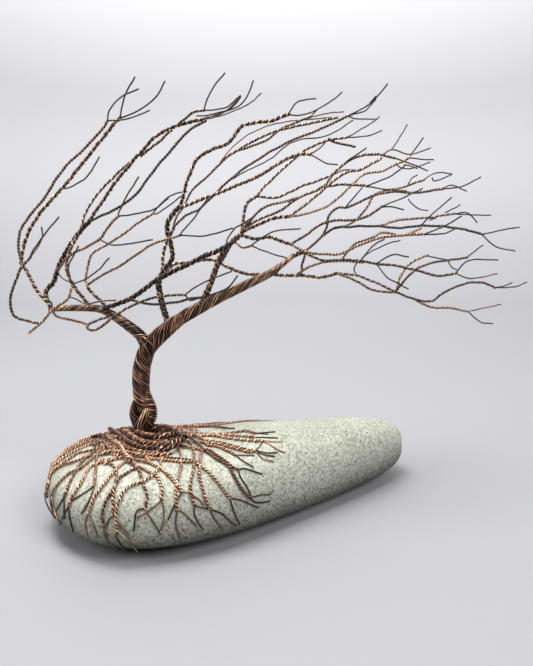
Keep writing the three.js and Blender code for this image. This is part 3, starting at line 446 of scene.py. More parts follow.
def twisting_tree():
    """Node tree: turns lines into wires. Each line becomes strands, and each strand becomes one
    wire or a twisted pair, as the line's own attributes say."""
    tree = bpy.data.node_groups.new("twist copper wire", "GeometryNodeTree")
    sockets = tree.interface
    sockets.new_socket("Lines", in_out="INPUT", socket_type="NodeSocketGeometry")
    sockets.new_socket("Wire Radius", in_out="INPUT", socket_type="NodeSocketFloat")
    sockets.new_socket("Sides", in_out="INPUT", socket_type="NodeSocketInt")
    sockets.new_socket("Hand Wobble", in_out="INPUT", socket_type="NodeSocketFloat")
    sockets.new_socket("Seed", in_out="INPUT", socket_type="NodeSocketInt")
    sockets.new_socket("Copper", in_out="INPUT", socket_type="NodeSocketMaterial")
    sockets.new_socket("Wires", in_out="OUTPUT", socket_type="NodeSocketGeometry")
    given = add_node(tree, "NodeGroupInput").outputs

    line = add_node(tree, "GeometryNodeMeshToCurve")
    feed(tree, given["Lines"], line.inputs["Mesh"])
    smooth = add_node(tree, "GeometryNodeCurveSplineType", spline_type="CATMULL_ROM")
    feed(tree, line.outputs["Curve"], smooth.inputs["Curve"])
    even = add_node(tree, "GeometryNodeResampleCurve", mode="LENGTH")
    feed(tree, smooth.outputs["Curve"], even.inputs["Curve"])
    feed(tree, field(tree, "step"), even.inputs["Length"])

    bends = add_node(tree, "ShaderNodeTexNoise")
    bends.inputs["Scale"].default_value = BENDS
    centred = vector_sum(tree, "SUBTRACT", bends.outputs["Color"], (0.5, 0.5, 0.5))
    by_hand = add_node(tree, "GeometryNodeSetPosition")
    feed(tree, even.outputs["Curve"], by_hand.inputs["Geometry"])
    feed(tree, vector_sum(tree, "SCALE", centred, given["Hand Wobble"]), by_hand.inputs["Offset"])

    no_core = add_node(tree, "GeometryNodeDeleteGeometry", domain="CURVE")
    feed(tree, by_hand.outputs["Geometry"], no_core.inputs["Geometry"])
    feed(tree, work_out(tree, "LESS_THAN", field(tree, "core"), 1e-6), no_core.inputs["Selection"])
    core_ring = add_node(tree, "GeometryNodeCurvePrimitiveCircle")
    core_ring.inputs["Resolution"].default_value = CORE_SIDES
    core_ring.inputs["Radius"].default_value = 1
    core = add_node(tree, "GeometryNodeCurveToMesh")
    feed(tree, no_core.outputs["Geometry"], core.inputs["Curve"])
    feed(tree, core_ring.outputs["Curve"], core.inputs["Profile Curve"])
    feed(tree, field(tree, "core"), core.inputs["Scale"])
    core.inputs["Fill Caps"].default_value = True
    # The filled middle gets the darkest colour: painted shade between the wires
    core_done = keep(tree, core.outputs["Mesh"], "rub_and_hollow_shade", 0.0)

    strands = add_node(tree, "GeometryNodeGroup", node_tree=LAY_STRANDS)
    feed(tree, by_hand.outputs["Geometry"], strands.inputs["Lines"])
    feed(tree, field(tree, "strands", "INT"), strands.inputs["Count"])
    feed(tree, field(tree, "reach"), strands.inputs["Distance"])
    feed(tree, field(tree, "turned"), strands.inputs["Turned"])
    feed(tree, field(tree, "lay"), strands.inputs["Pitch"])
    feed(tree, field(tree, "loose"), strands.inputs["Looseness"])
    rope_heart = keep(tree, strands.outputs["Strands"], "rope_heart",
                      field(tree, "heart", "FLOAT_VECTOR"), "FLOAT_VECTOR")
    wires = add_node(tree, "GeometryNodeGroup", node_tree=LAY_STRANDS)
    feed(tree, rope_heart, wires.inputs["Lines"])
    feed(tree, field(tree, "wires", "INT"), wires.inputs["Count"])
    feed(tree, field(tree, "spread"), wires.inputs["Distance"])
    feed(tree, field(tree, "twist"), wires.inputs["Pitch"])

    chance = add_node(tree, "FunctionNodeRandomValue", data_type="FLOAT")
    feed(tree, given["Seed"], chance.inputs["Seed"])
    per_wire = add_node(tree, "GeometryNodeFieldOnDomain", domain="CURVE", data_type="FLOAT")
    feed(tree, chance.outputs[1], per_wire.inputs[0])
    toned = keep(tree, wires.outputs["Strands"], "tone", per_wire.outputs[0])
    ring = add_node(tree, "GeometryNodeCurvePrimitiveCircle")
    feed(tree, given["Sides"], ring.inputs["Resolution"])
    feed(tree, given["Wire Radius"], ring.inputs["Radius"])
    drawn = add_node(tree, "GeometryNodeCurveToMesh")
    feed(tree, toned, drawn.inputs["Curve"])
    feed(tree, ring.outputs["Curve"], drawn.inputs["Profile Curve"])
    drawn.inputs["Fill Caps"].default_value = True
    # Rub and hollow shade: high on the crests, where the copper is rubbed bare and a painted highlight is
    # laid on; low in the hollows, where the patina and the painted shade are
    place = add_node(tree, "GeometryNodeInputPosition").outputs["Position"]
    out = vector_sum(tree, "DISTANCE", place, field(tree, "rope_heart", "FLOAT_VECTOR"))
    crest = add_node(tree, "ShaderNodeMapRange")
    feed(tree, out, crest.inputs["Value"])
    feed(tree, field(tree, "valley"), crest.inputs["From Min"])
    feed(tree, field(tree, "crest"), crest.inputs["From Max"])
    rubbed_and_shaded = keep(tree, drawn.outputs["Mesh"], "rub_and_hollow_shade", crest.outputs["Result"])

    both = add_node(tree, "GeometryNodeJoinGeometry")
    feed(tree, core_done, both.inputs["Geometry"])
    feed(tree, rubbed_and_shaded, both.inputs["Geometry"])
    rounded = add_node(tree, "GeometryNodeSetShadeSmooth")
    feed(tree, both.outputs["Geometry"], rounded.inputs["Geometry"])
    real = add_node(tree, "GeometryNodeRealizeInstances")
    feed(tree, rounded.outputs["Geometry"], real.inputs["Geometry"])
    finish = add_node(tree, "GeometryNodeSetMaterial")
    feed(tree, real.outputs["Geometry"], finish.inputs["Geometry"])
    feed(tree, given["Copper"], finish.inputs["Material"])
    made = add_node(tree, "NodeGroupOutput")
    feed(tree, finish.outputs["Geometry"], made.inputs["Wires"])
    return tree


TWIST_WIRE = twisting_tree()


def antique_copper():
    material, tree, shader, place = new_material("antiqued copper wire")
    tone = add_node(tree, "ShaderNodeAttribute", attribute_name="tone").outputs["Fac"]
    rub_and_hollow_shade = add_node(tree, "ShaderNodeAttribute", attribute_name="rub_and_hollow_shade").outputs["Fac"]
    patina = add_node(tree, "ShaderNodeAttribute", attribute_name="patina").outputs["Fac"]
    blotches = noise(tree, place, BLOTCHES, 3, 0.6)
    grain = noise(tree, place, FINE_GRAIN, 2, 0.5)
    # Rubbed copper and patina, with a painted highlight on the crests and painted shade in the hollows,
    # varied by tone and blotches
    wear_and_painted_light = work_out(tree, "MULTIPLY", rub_and_hollow_shade, work_out(tree, "SUBTRACT", 1.1, patina))
    for part, share in ((tone, 0.35), (blotches, 0.45)):
        centred = work_out(tree, "SUBTRACT", part, 0.5)
        wear_and_painted_light = work_out(tree, "ADD", wear_and_painted_light, work_out(tree, "MULTIPLY", centred, share))
    # The dark end is patina and painted shade, the near-white end a painted highlight on bare copper
    bright = ramp(tree, wear_and_painted_light, [
        (0.0, linear("#0d0806")),
        (0.28, linear("#281a14")),
        (0.5, linear("#5f4234")),
        (0.7, linear("#b07d5c")),
        (0.86, linear("#e6b68e")),
        (1.0, linear("#fbe2c8")),
    ])
    browned = ramp(tree, wear_and_painted_light, [
        (0.0, linear("#0e0a08")),
        (0.2, linear("#2a211c")),
        (0.42, linear("#6b5543")),
        (0.6, linear("#bd9876")),
        (0.8, linear("#ecd0b0")),
    ])
    thick = add_node(tree, "ShaderNodeMapRange")
    feed(tree, patina, thick.inputs["Value"])
    thick.inputs["From Min"].default_value = THIN_PATINA
    thick.inputs["From Max"].default_value = THICK_PATINA
    colour = add_node(tree, "ShaderNodeMix", data_type="RGBA")
    feed(tree, thick.outputs["Result"], colour.inputs[0])
    feed(tree, bright, colour.inputs[6])
    feed(tree, browned, colour.inputs[7])
    feed(tree, colour.outputs[2], shader.inputs["Base Color"])
    shader.inputs["Metallic"].default_value = 0.7
    shader.inputs["Coat Weight"].default_value = 0.3
    shader.inputs["Coat Roughness"].default_value = 0.22
    rough = add_node(tree, "ShaderNodeMapRange")
    polished = work_out(tree, "MULTIPLY", wear_and_painted_light, -0.5)
    feed(tree, work_out(tree, "ADD", polished, grain), rough.inputs["Value"])
    rough.inputs["To Min"].default_value = 0.3
    rough.inputs["To Max"].default_value = 0.55
    feed(tree, rough.outputs["Result"], shader.inputs["Roughness"])
    return material


COPPER = antique_copper()

# How each kind of line is made up: strands round the line, and wires in a strand. Lengths in mm.
PLAIN = dict(strands=1, reach=0, lay=1000, loose=0, wires=1, spread=0, twist=1000, step=0.9,
             core=0, valley=0, crest=0.6)
WIRE = PLAIN
PAIR = dict(PLAIN, wires=2, spread=0.25, twist=2.1, step=0.26, valley=0.35, crest=0.5)
DOUBLE = dict(PAIR, strands=2, reach=0.25, lay=3.8, spread=0.22, twist=2.2, valley=0.32, crest=0.66)
ROPE = dict(PAIR, strands=3, reach=0.46, lay=5.8, spread=0.24, twist=2.6, step=0.3, valley=0.6,
            crest=0.95)
LENGTHS = ("reach", "lay", "spread", "twist", "step", "core", "valley", "crest")


def wire_object(name, lines, seed, wobble=0.0):
    """One mesh of twisted wires. A line is (make-up, points in mm, patina); a value of the
    make-up may be a list, with one value for each point."""
    points, edges = [], []
    values = {key: [] for key in [*PLAIN, "turned", "patina"]}
    for make_up, route, patina in lines:
        start = len(points)
        points.extend((np.array(route) * MM).tolist())
        edges.extend((i, i + 1) for i in range(start, len(points) - 1))
        for key, column in values.items():
            value = patina if key == "patina" else make_up.get(key, 0)
            scale = MM if key in LENGTHS else 1
            each = value if isinstance(value, (list, np.ndarray)) else [value] * len(route)
            column.extend(v * scale for v in each)
    mesh = bpy.data.meshes.new(name + "_lines")
    mesh.from_pydata(points, edges, [])
    for key, column in values.items():
        whole = key in ("strands", "wires")
        attribute = mesh.attributes.new(key, "INT" if whole else "FLOAT", "POINT")
        attribute.data.foreach_set("value", [int(v) for v in column] if whole else column)
    lines_object = bpy.data.objects.new(name + "_lines", mesh)
    bpy.context.scene.collection.objects.link(lines_object)
    twisting = lines_object.modifiers.new("twisting", "NODES")
    twisting.node_group = TWIST_WIRE
    settings = {
        "Wire Radius": WIRE_RADIUS * MM,
        "Sides": SIDES,
        "Hand Wobble": wobble * MM,
        "Seed": seed,
        "Copper": COPPER,
    }
    for item in TWIST_WIRE.interface.items_tree:
        if item.name in settings:
            twisting[item.identifier] = settings[item.name]
    depsgraph = bpy.context.evaluated_depsgraph_get()
    made = bpy.data.meshes.new_from_object(
        lines_object.evaluated_get(depsgraph), preserve_all_data_layers=True, depsgraph=depsgraph)
    for spent in ("heart", "rope_heart", *PLAIN, "turned"):
        if spent in made.attributes:
            made.attributes.remove(made.attributes[spent])
    bpy.data.objects.remove(lines_object)
    made.name = name
    wires = bpy.data.objects.new(name, made)
    bpy.context.scene.collection.objects.link(wires)
    return wires


def add_wires(name, lines, seed, nodes, wobble=0.0):
    wires = wire_object(name, lines, seed, wobble)
    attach(wires, "root")
    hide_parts(*nodes)
    return wires


def board(*route):
    return [spot(*point) for point in route]


def turned_along(route, reaches, slants):
    """How far wires have turned at each point, if they cross the bundle's length at the slants
    (degrees from lengthwise)."""
    turned = [0.0]
    for i in range(1, len(route)):
        length = np.linalg.norm(np.array(route[i]) - np.array(route[i - 1]))
        reach = (reaches[i] + reaches[i - 1]) / 2
        slant = math.radians((slants[i] + slants[i - 1]) / 2)
        turned.append(turned[-1] + length * math.tan(slant) / reach)
    return turned


def slanted(count, route, reaches, slants):
    """Single wires side by side round a filled middle. The reach of their centres and their slant
    change from point to point."""
    make_up = dict(PLAIN, strands=count, loose=0.1, step=0.4)
    make_up["reach"] = list(reaches)
    make_up["core"] = [reach - CORE_GAP for reach in reaches]
    make_up["valley"] = [reach + VALLEY_RISE for reach in reaches]
    make_up["crest"] = [reach + WIRE_RADIUS for reach in reaches]
    make_up["turned"] = turned_along(route, reaches, slants)
    return make_up


trunk_route = board((-0.4, 8.5, 0.3), (-0.9, 11.5, 0), (-1.2, 15, 0), (-1.3, 19, 0), (-1, 22.5, 0),
                    (-0.2, 26, 0), (1.2, 29.3, 0), (4, 32.3, 0.3), (9, 36.7, 0.5), (13, 39.4, 0.5))
trunk_reach = (2.3, 2.55, 2.6, 2.7, 2.7, 2.6, 2.55, 2.5, 2.2, 1.6)
trunk_slant = (62, 58, 55, 54, 52, 45, 36, 36, 36, 36)
right_limb_route = board((7, 35, 0.5), (10, 37.5, 0.5), (15, 40.7, 0.5), (25, 46, 1), (34.3, 50.3, 1),
                         (41.8, 54, 1), (45.8, 56.9, 1.8), (49.5, 59.8, 2.4))
right_limb_reach = (1.7, 1.9, 1.9, 1.6, 1.25, 1.05, 0.7, 0.5)
right_limb_slant = (36, 36, 36, 34, 30, 30, 30, 30)
foot_left = board((-1.6, 13, -0.6), (-2.7, 11, -0.9), (-3.5, 8.7, -1), (-3.7, 6.7, -1),
                  (-3.2, 4.7, -1.2), (-2.7, 2.5, -1.5), (-2.3, 0.5, -2))
foot_middle = board((1.3, 10, -0.4), (0.8, 8.6, -1.4), (0.2, 7.2, -2), (-0.7, 5.5, -2.4),
                    (-1.9, 3.6, -2.6), (-3, 1.6, -3), (-3.4, 0, -3.6))
foot_right = board((-0.6, 15, 0), (0, 12.8, 0), (0.9, 10.7, 0), (1.7, 8.7, 0), (2, 6.7, 0.2),
                   (1.6, 4.8, 0.8), (0.2, 3, 1.6), (-1, 1, 2.2))
foot_back = board((-1, 12, 1), (-1.2, 9, 1.7), (-0.8, 6, 2), (0.6, 3, 2.6), (2, 0.5, 3.4))

# Single wires that part from the left limb and cross the trunk's face on their way down
CROSSING_WIRES = [
    board((-2.1, 33, -1.6), (-0.9, 31, -2.6), (0.6, 28.4, -2.9), (1.6, 25.9, -2.4), (1.7, 24.2, -1)),
    board((-2.7, 32, -1.2), (-1.6, 29.8, -2.5), (0, 27.2, -2.9), (1.2, 24.6, -2.5), (1.5, 22.6, -1)),
    board((-1.2, 33.4, -1.2), (0.4, 31.8, -2.6), (2.2, 30.3, -2.6), (3.2, 28.9, -1.2)),
]

trunk_lines = [
    (slanted(14, trunk_route, trunk_reach, trunk_slant), trunk_route, 0.42),
    (slanted(12, right_limb_route, right_limb_reach, right_limb_slant), right_limb_route, 0.46),
    (slanted(8, foot_left, (1, 1.15, 1.25, 1.3, 1.2, 1, 0.8), [30] * 7), foot_left, 0.4),
    (slanted(8, foot_middle, (0.8, 0.9, 1, 1.05, 1.05, 0.95, 0.8), [14] * 7), foot_middle, 0.2),
    (slanted(8, foot_right, (1.9, 2.1, 2.1, 2.15, 2.05, 1.75, 1.3, 1),
             (60, 62, 66, 68, 66, 60, 45, 40)), foot_right, 0.35),
    (slanted(8, foot_back, (1.2, 1.4, 1.4, 1.2, 1), [40] * 5), foot_back, 0.45),
]
trunk_lines.extend((dict(WIRE, step=0.4), route, 0.1) for route in CROSSING_WIRES)
add_wires("trunk_wires", trunk_lines, 3, ["trunk", "right_limb"])


# --- The limbs ------------------------------------------------------------------------------
# The bundle divides above the trunk: half of it goes right as a heavy limb, and the rest goes
# left. Two thinner bundles climb from the heavy limb. Each is wires twisted together and no more.

left_limb_route = board((0.8, 26, 0.4), (0.5, 29, 0.2), (-1, 32.6, -0.3), (-5.2, 36.2, -1),
                        (-11, 40.1, -2), (-15.7, 42.1, -3), (-25, 42.3, -5), (-32, 42, -6))
left_limb_reach = (1.6, 1.7, 1.6, 1.5, 1.25, 1.0, 0.8, 0.7)
left_limb_slant = (40, 42, 46, 50, 48, 45, 40, 40)
middle_limb_route = board((8.7, 35, 1), (6.9, 39.7, 2.3), (5.4, 45, 3.4), (4.5, 50.7, 4), (5.6, 53.5, 4))
cluster_limb_route = board((19.3, 42.6, 0.5), (21, 47.7, 0.5), (23, 53, 1), (24.7, 57.7, 1),
                           (27.7, 62.7, 1), (31.7, 66.7, 1), (34.7, 71, 1))
cluster_second_route = board((17.5, 41.8, 0), (19.3, 46, -0.7), (21.6, 51, -0.6), (23.6, 56.5, -0.5),
                             (26.3, 61.6, -0.3), (30.7, 65.7, 0), (33, 69, 0.4))
LIMB_PATINA = 0.46
MIDDLE_ROPE = dict(ROPE, strands=4, reach=0.72, lay=9, valley=0.8, crest=1.2)

limb_lines = [
    (slanted(9, left_limb_route, left_limb_reach, left_limb_slant), left_limb_route, LIMB_PATINA),
    (MIDDLE_ROPE, middle_limb_route, LIMB_PATINA),
    (ROPE, cluster_limb_route, LIMB_PATINA),
    (DOUBLE, cluster_second_route, LIMB_PATINA),
]
add_wires("limb_wires", limb_lines, 4, ["left_limb", "middle_limb", "cluster_limb"])


# --- The crown ------------------------------------------------------------------------------
# The limbs divide into ropes of two or three twisted pairs, the ropes into pairs, and each pair
# ends where its two wires part and are bent into bare tips. All sweep one way, as if blown.

TIP_PATINA = 0.45
CROWN_PATINA = 0.5
HAND_WOBBLE = 0.9


def grow(name, branches, seed):
    """A group of branches as one mesh that stands for their solids. Bare tips are darker."""
    lines = []
    for ropes in branches.values():
        for make_up, *route in ropes:
            patina = TIP_PATINA if make_up is WIRE else CROWN_PATINA
            lines.append((make_up, board(*route), patina))
    nodes = [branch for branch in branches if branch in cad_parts]
    return add_wires(name, lines, seed, nodes, HAND_WOBBLE)


# Branches of the left limb
LEFT_BRANCHES = {
    "left_outer_branch": [
        (DOUBLE, (-31, 42, -6), (-33.4, 45, -7), (-36, 48, -7), (-38.7, 53.3, -8), (-41.5, 57.7, -9)),
        (PAIR, (-41, 57.2, -9), (-42.2, 61.7, -9), (-41.7, 67.7, -10), (-39, 72.3, -10),
         (-34.7, 77.3, -11), (-29.7, 85, -12), (-25.3, 90.7, -12), (-18.3, 97.3, -12),
         (-12.3, 105, -12)),
        (WIRE, (-12.6, 104.3, -12), (-11.7, 108.3, -12), (-8.3, 112.3, -13), (-2.3, 115.3, -15)),
        (WIRE, (-12.9, 104.6, -12), (-5, 105.7, -11), (1.7, 108.2, -9)),
    ],
    "left_inner_branch": [
        (DOUBLE, (-41.3, 57.4, -9), (-40.8, 61, -7), (-38.7, 68.3, -6), (-34.3, 75, -5),
         (-28.3, 81.3, -5), (-24.7, 85.7, -5), (-19.3, 92.7, -6), (-13.3, 100, -7), (-8, 106.3, -8)),
        (WIRE, (-8.4, 105.7, -8), (-7.7, 109, -9), (-6.3, 114, -12), (-3.3, 119.5, -15)),
        (WIRE, (-8.4, 105.7, -8), (-3.3, 107.7, -8), (2.7, 111.7, -9), (6.8, 118, -10)),
        (WIRE, (-27.5, 82.1, -5), (-25.3, 82.5, -8), (-19.7, 85.7, -12), (-15.2, 92.8, -15)),
    ],
    "left_main_branch": [
        (ROPE, (-31, 42, -5.5), (-32.8, 45.5, -3.2), (-32.7, 48.3, -2), (-30.3, 51.3, -1),
         (-28.3, 57.3, 0), (-24, 64.7, 1), (-18, 72, 1)),
        (DOUBLE, (-18.3, 71.6, 1), (-16, 75.3, 1), (-11, 82.7, 2), (-6.7, 88.3, 3), (-2, 93.7, 4),
         (4.3, 100, 4), (11, 103.3, 4), (19.7, 105.2, 4)),
        (WIRE, (19, 105, 4), (25.7, 107, 3), (32, 112.7, 2)),
        (WIRE, (19, 105.3, 4), (31.7, 110, 3), (36, 118.2, 1)),
        (WIRE, (19, 105, 4.2), (29, 107.7, 6), (34.3, 110.3, 7), (38.7, 114, 8)),
        (PAIR, (10, 102.8, 3.5), (16, 107.3, 2), (20, 108.3, 1)),
        (WIRE, (19.4, 108, 1), (22, 114.7, -1), (26.7, 120.8, -3)),
    ],
    "left_thin_branch": [
        (PAIR, (-21.3, 68, 1), (-20.2, 73, 4), (-18, 77.3, 6), (-13.7, 82.7, 8), (-8.3, 88, 8),
         (-4, 91.7, 7.5), (0, 95.5, 7)),
    ],
    "left_crossing_branch": [
        (PAIR, (-18.3, 71.4, 1), (-14, 73.3, -2), (-10.3, 75, -4), (-5, 78.5, -5), (-2, 81.3, -5),
         (1.3, 86.3, -5), (7, 93, -5), (14, 101, -4), (20.5, 105, -2)),
    ],
    "left_front_branch": [
        (PAIR, (-29.3, 54.3, -0.5), (-26.9, 58, -7), (-23, 61, -9), (-19.3, 62.7, -10),
         (-14.7, 65.7, -12), (-11.3, 70.3, -13), (-8.5, 73, -14)),
        (WIRE, (-8.8, 72.6, -14), (-8.3, 75, -15), (-5, 81.7, -18), (-2, 86, -20)),
        (WIRE, (-8.8, 72.8, -14), (2.3, 75, -17), (7.7, 79, -18)),
        (WIRE, (-15, 65.5, -12), (-9.7, 63.3, -15), (2.3, 65, -20)),
    ],
    "left_inner_twig": [
        (DOUBLE, (-17.5, 42.3, -3.5), (-20.3, 45.3, -4), (-24.3, 50.7, -4), (-26.3, 56, -4),
         (-25.3, 60.7, -3.5), (-22.8, 66, -1)),
        (WIRE, (-24, 50.3, -4.3), (-25.5, 54.3, -8), (-25, 57.7, -12), (-22.2, 63, -15)),
        (WIRE, (-24, 50.3, -4.3), (-21, 51.3, -8), (-15.7, 54.7, -12), (-12, 59, -15)),
    ],
    "left_drooping_twig": [
        (PAIR, (-24, 50.3, -4.5), (-26, 45.3, -8.5), (-31, 41.7, -11), (-35, 37, -14),
         (-38.7, 33.7, -17)),
        (PAIR, (-35.2, 37, -14), (-41.7, 38.7, -15), (-44.3, 40.7, -16), (-45, 45, -16),
         (-44.3, 48.3, -16), (-42, 54.7, -16), (-38, 59.3, -15)),
        (WIRE, (-38.4, 59, -15), (-37, 62.3, -16), (-33.3, 67.3, -18), (-28.7, 72.7, -19)),
        (WIRE, (-38.4, 59, -15), (-34.3, 65.7, -13), (-34.6, 69.3, -13)),
    ],
    "left_rising_branch": [
        (DOUBLE, (-11.5, 41, -2.2), (-15.3, 45, 0.5), (-18.3, 48, 2), (-19.4, 50.4, 3)),
        (PAIR, (-19.3, 50, 3), (-20, 51.7, 4), (-19, 57, 6), (-17.3, 60.7, 7), (-12.3, 63.7, 8),
         (-6, 68, 9), (2.7, 74, 10)),
        (WIRE, (2.2, 73.7, 10), (8.3, 79.7, 10), (14, 81.3, 9)),
        (WIRE, (2.2, 73.7, 10), (5, 74.3, 9), (12.3, 79.7, 6)),
    ],
    "left_lower_branch": [
        (PAIR, (-19, 50, 3), (-16, 52.3, 1), (-10, 55.3, -2), (-4.7, 58.7, -4), (1.7, 63, -6),
         (7.3, 65.2, -8), (12, 66.7, -10)),
        (WIRE, (11.5, 66.5, -10), (16, 71.7, -13), (21.3, 79.3, -17)),
        (WIRE, (11.5, 66.5, -10), (20, 66.5, -12), (29.3, 69, -14)),
    ],
    "bridging_rope": [
        (ROPE, (-14.4, 42, -3), (-9, 43.7, -5), (-4, 46, -5), (0.7, 49.3, -5), (5, 52.3, -5),
         (12.3, 56, -4.5), (19.3, 59.3, -4), (26.7, 62.7, -3), (31, 66, 0)),
    ],
    "bridge_twig": [
        (PAIR, (-5.5, 45.4, -5), (0, 43.7, -8), (9, 44, -10), (15, 45.3, -12), (19.7, 46, -13)),
        (WIRE, (19.2, 45.9, -13), (27, 48.7, -16), (31, 53, -18)),
    ],
    "low_looping_twig": [
        (PAIR, (-31.5, 42, -6), (-29, 39.3, -7), (-23, 38, -8), (-18.7, 36.5, -9)),
        (PAIR, (-10.5, 40, -2), (-15.7, 38.3, -6.5), (-19, 36.7, -8.5), (-18.7, 35, -10),
         (-16, 35.3, -11), (-10, 39.7, -11), (-3.7, 43.3, -11.5), (3.3, 45.7, -13), (13.7, 46.8, -15)),
        (WIRE, (13.2, 46.8, -15), (18.3, 50.3, -18), (29, 54.7, -22)),
    ],
    "left_loose_wires": [
        (WIRE, (-29, 54.3, 0), (-27.7, 52.3, -1), (-26.3, 51.3, -2), (-24.7, 51, -3)),
        (WIRE, (-25.3, 46.3, -4), (-23, 45.3, -6), (-20.7, 44, -7), (-17.7, 44, -8), (-13.7, 44.7, -8),
         (-9.7, 45, -6)),
        (PAIR, (-1.7, 92.7, 4), (1, 95, 3), (4, 97.3, 3), (5.7, 98.7, 3), (7.7, 100.7, 3), (9, 101.7, 3.4)),
        (WIRE, (17, 106.3, 3), (23.3, 107, 1), (27.7, 108.3, 0), (30.3, 110.7, -1), (32, 112.7, -2)),
        (WIRE, (20.2, 108.3, 1), (22.7, 108.2, 0), (25.3, 108.7, -2), (28, 109.7, -4), (32, 113.2, -5)),
        (WIRE, (13.7, 46.3, -15), (15, 45, -17), (17.7, 45.7, -19)),
    ],
}
grow("left_branches", LEFT_BRANCHES, 5)

# Branches of the middle limb
MIDDLE_BRANCHES = {
    "middle_front_branch": [
        (ROPE, (5.2, 53, 3.7), (7, 55.7, 2), (9.1, 59, 1), (8.7, 62.7, 0), (7.3, 69, 0), (9.3, 73.7, 0),
         (11, 75.7, 0)),
        (DOUBLE, (10.7, 75.3, 0), (12.3, 78.3, -1), (14.3, 85, -2), (17.3, 91.7, -2), (21.7, 95, -2),
         (27.7, 97.3, -2), (32, 102.7, -2), (37, 104, -2), (42.3, 104.7, -2), (48.3, 107.2, -2)),
        (WIRE, (47.8, 107, -2), (50.7, 111, -3), (57, 112.2, -5)),
        (WIRE, (47.8, 107, -2), (52.7, 106.8, -2), (59, 109.3, -1), (65.7, 114.3, 0)),
    ],
    "middle_right_branch": [
        (DOUBLE, (11, 75.5, 0.2), (16.7, 77.7, 3), (23.3, 80.3, 4), (30, 83, 4), (37.3, 86, 4),
         (43.7, 90, 4), (50, 93, 4), (55.7, 93.7, 4)),
        (WIRE, (55.2, 93.6, 4), (58.5, 95.5, 3), (60.7, 98.2, 2)),
        (WIRE, (55.2, 93.6, 4), (60, 90.7, 5), (64.3, 90.3, 7)),
    ],
    "middle_back_branch": [
        (DOUBLE, (5, 52.6, 4), (5.8, 56, 7), (6.3, 61, 9), (7.3, 64.7, 10), (10, 69.7, 11.5)),
        (PAIR, (9.7, 69.2, 11.4), (10.3, 72.7, 14), (13.3, 77, 18), (16, 82, 21), (20.7, 86, 23),
         (27.7, 93, 25), (34.3, 96, 26), (40.7, 98.3, 27), (45.7, 102.3, 28), (55.3, 106, 28)),
        (WIRE, (54.8, 105.8, 28), (61.7, 107.3, 30), (66.3, 107.7, 32)),
    ],
    "middle_outer_branch": [
        (PAIR, (9.7, 69.2, 11.2), (13.7, 73.3, 11), (18, 75.3, 11), (22.7, 79.7, 11), (27.7, 84.7, 11),
         (34.7, 90, 11), (42.3, 94.7, 10), (48.7, 98, 9), (56, 101, 8), (69.3, 107, 6)),
        (WIRE, (68.8, 106.8, 6), (75.3, 110.7, 4), (80.8, 117.3, 2)),
        (WIRE, (68.8, 106.8, 6), (73.3, 108, 6), (77, 112, 7)),
    ],
    "middle_thin_twig": [
        (WIRE, (25, 91, 24.3), (31.7, 98.3, 29), (41, 103, 31), (51.7, 105, 33), (64.3, 105.8, 35)),
    ],
    "middle_back_twig": [
        (WIRE, (28, 85, 11.2), (33.7, 88, 16), (41.7, 92, 18), (49, 97.7, 19), (60.7, 99.7, 20),
         (69.3, 105, 20)),
    ],
    "crossing_rope": [
        (DOUBLE, (5.3, 52.7, 4), (9.3, 56.6, 5.5), (13.7, 57.3, 5), (17.7, 58, 5), (23, 58.3, 4.5),
         (27.7, 55.7, 4), (34.3, 53.7, 3.5), (41, 53.7, 2)),
    ],
    "middle_loose_wires": [
        (WIRE, (55.3, 106, 28), (56.7, 107.7, 27), (57.3, 108.3, 26)),
        (PAIR, (25.3, 91.7, 8), (32, 95.7, 9), (42, 100.7, 10), (54, 103.7, 11), (64.3, 105.8, 12)),
        (WIRE, (67.7, 106.3, 6), (69.7, 105.5, 8), (72.3, 105.2, 10), (77.3, 105.2, 12)),
        (WIRE, (75, 110.7, 4), (77, 113, 3)),
        (PAIR, (20, 59, 4.5), (22.3, 60.3, 2), (24.7, 61.7, 0), (27, 63, -1)),
    ],
}
grow("middle_branches", MIDDLE_BRANCHES, 6)

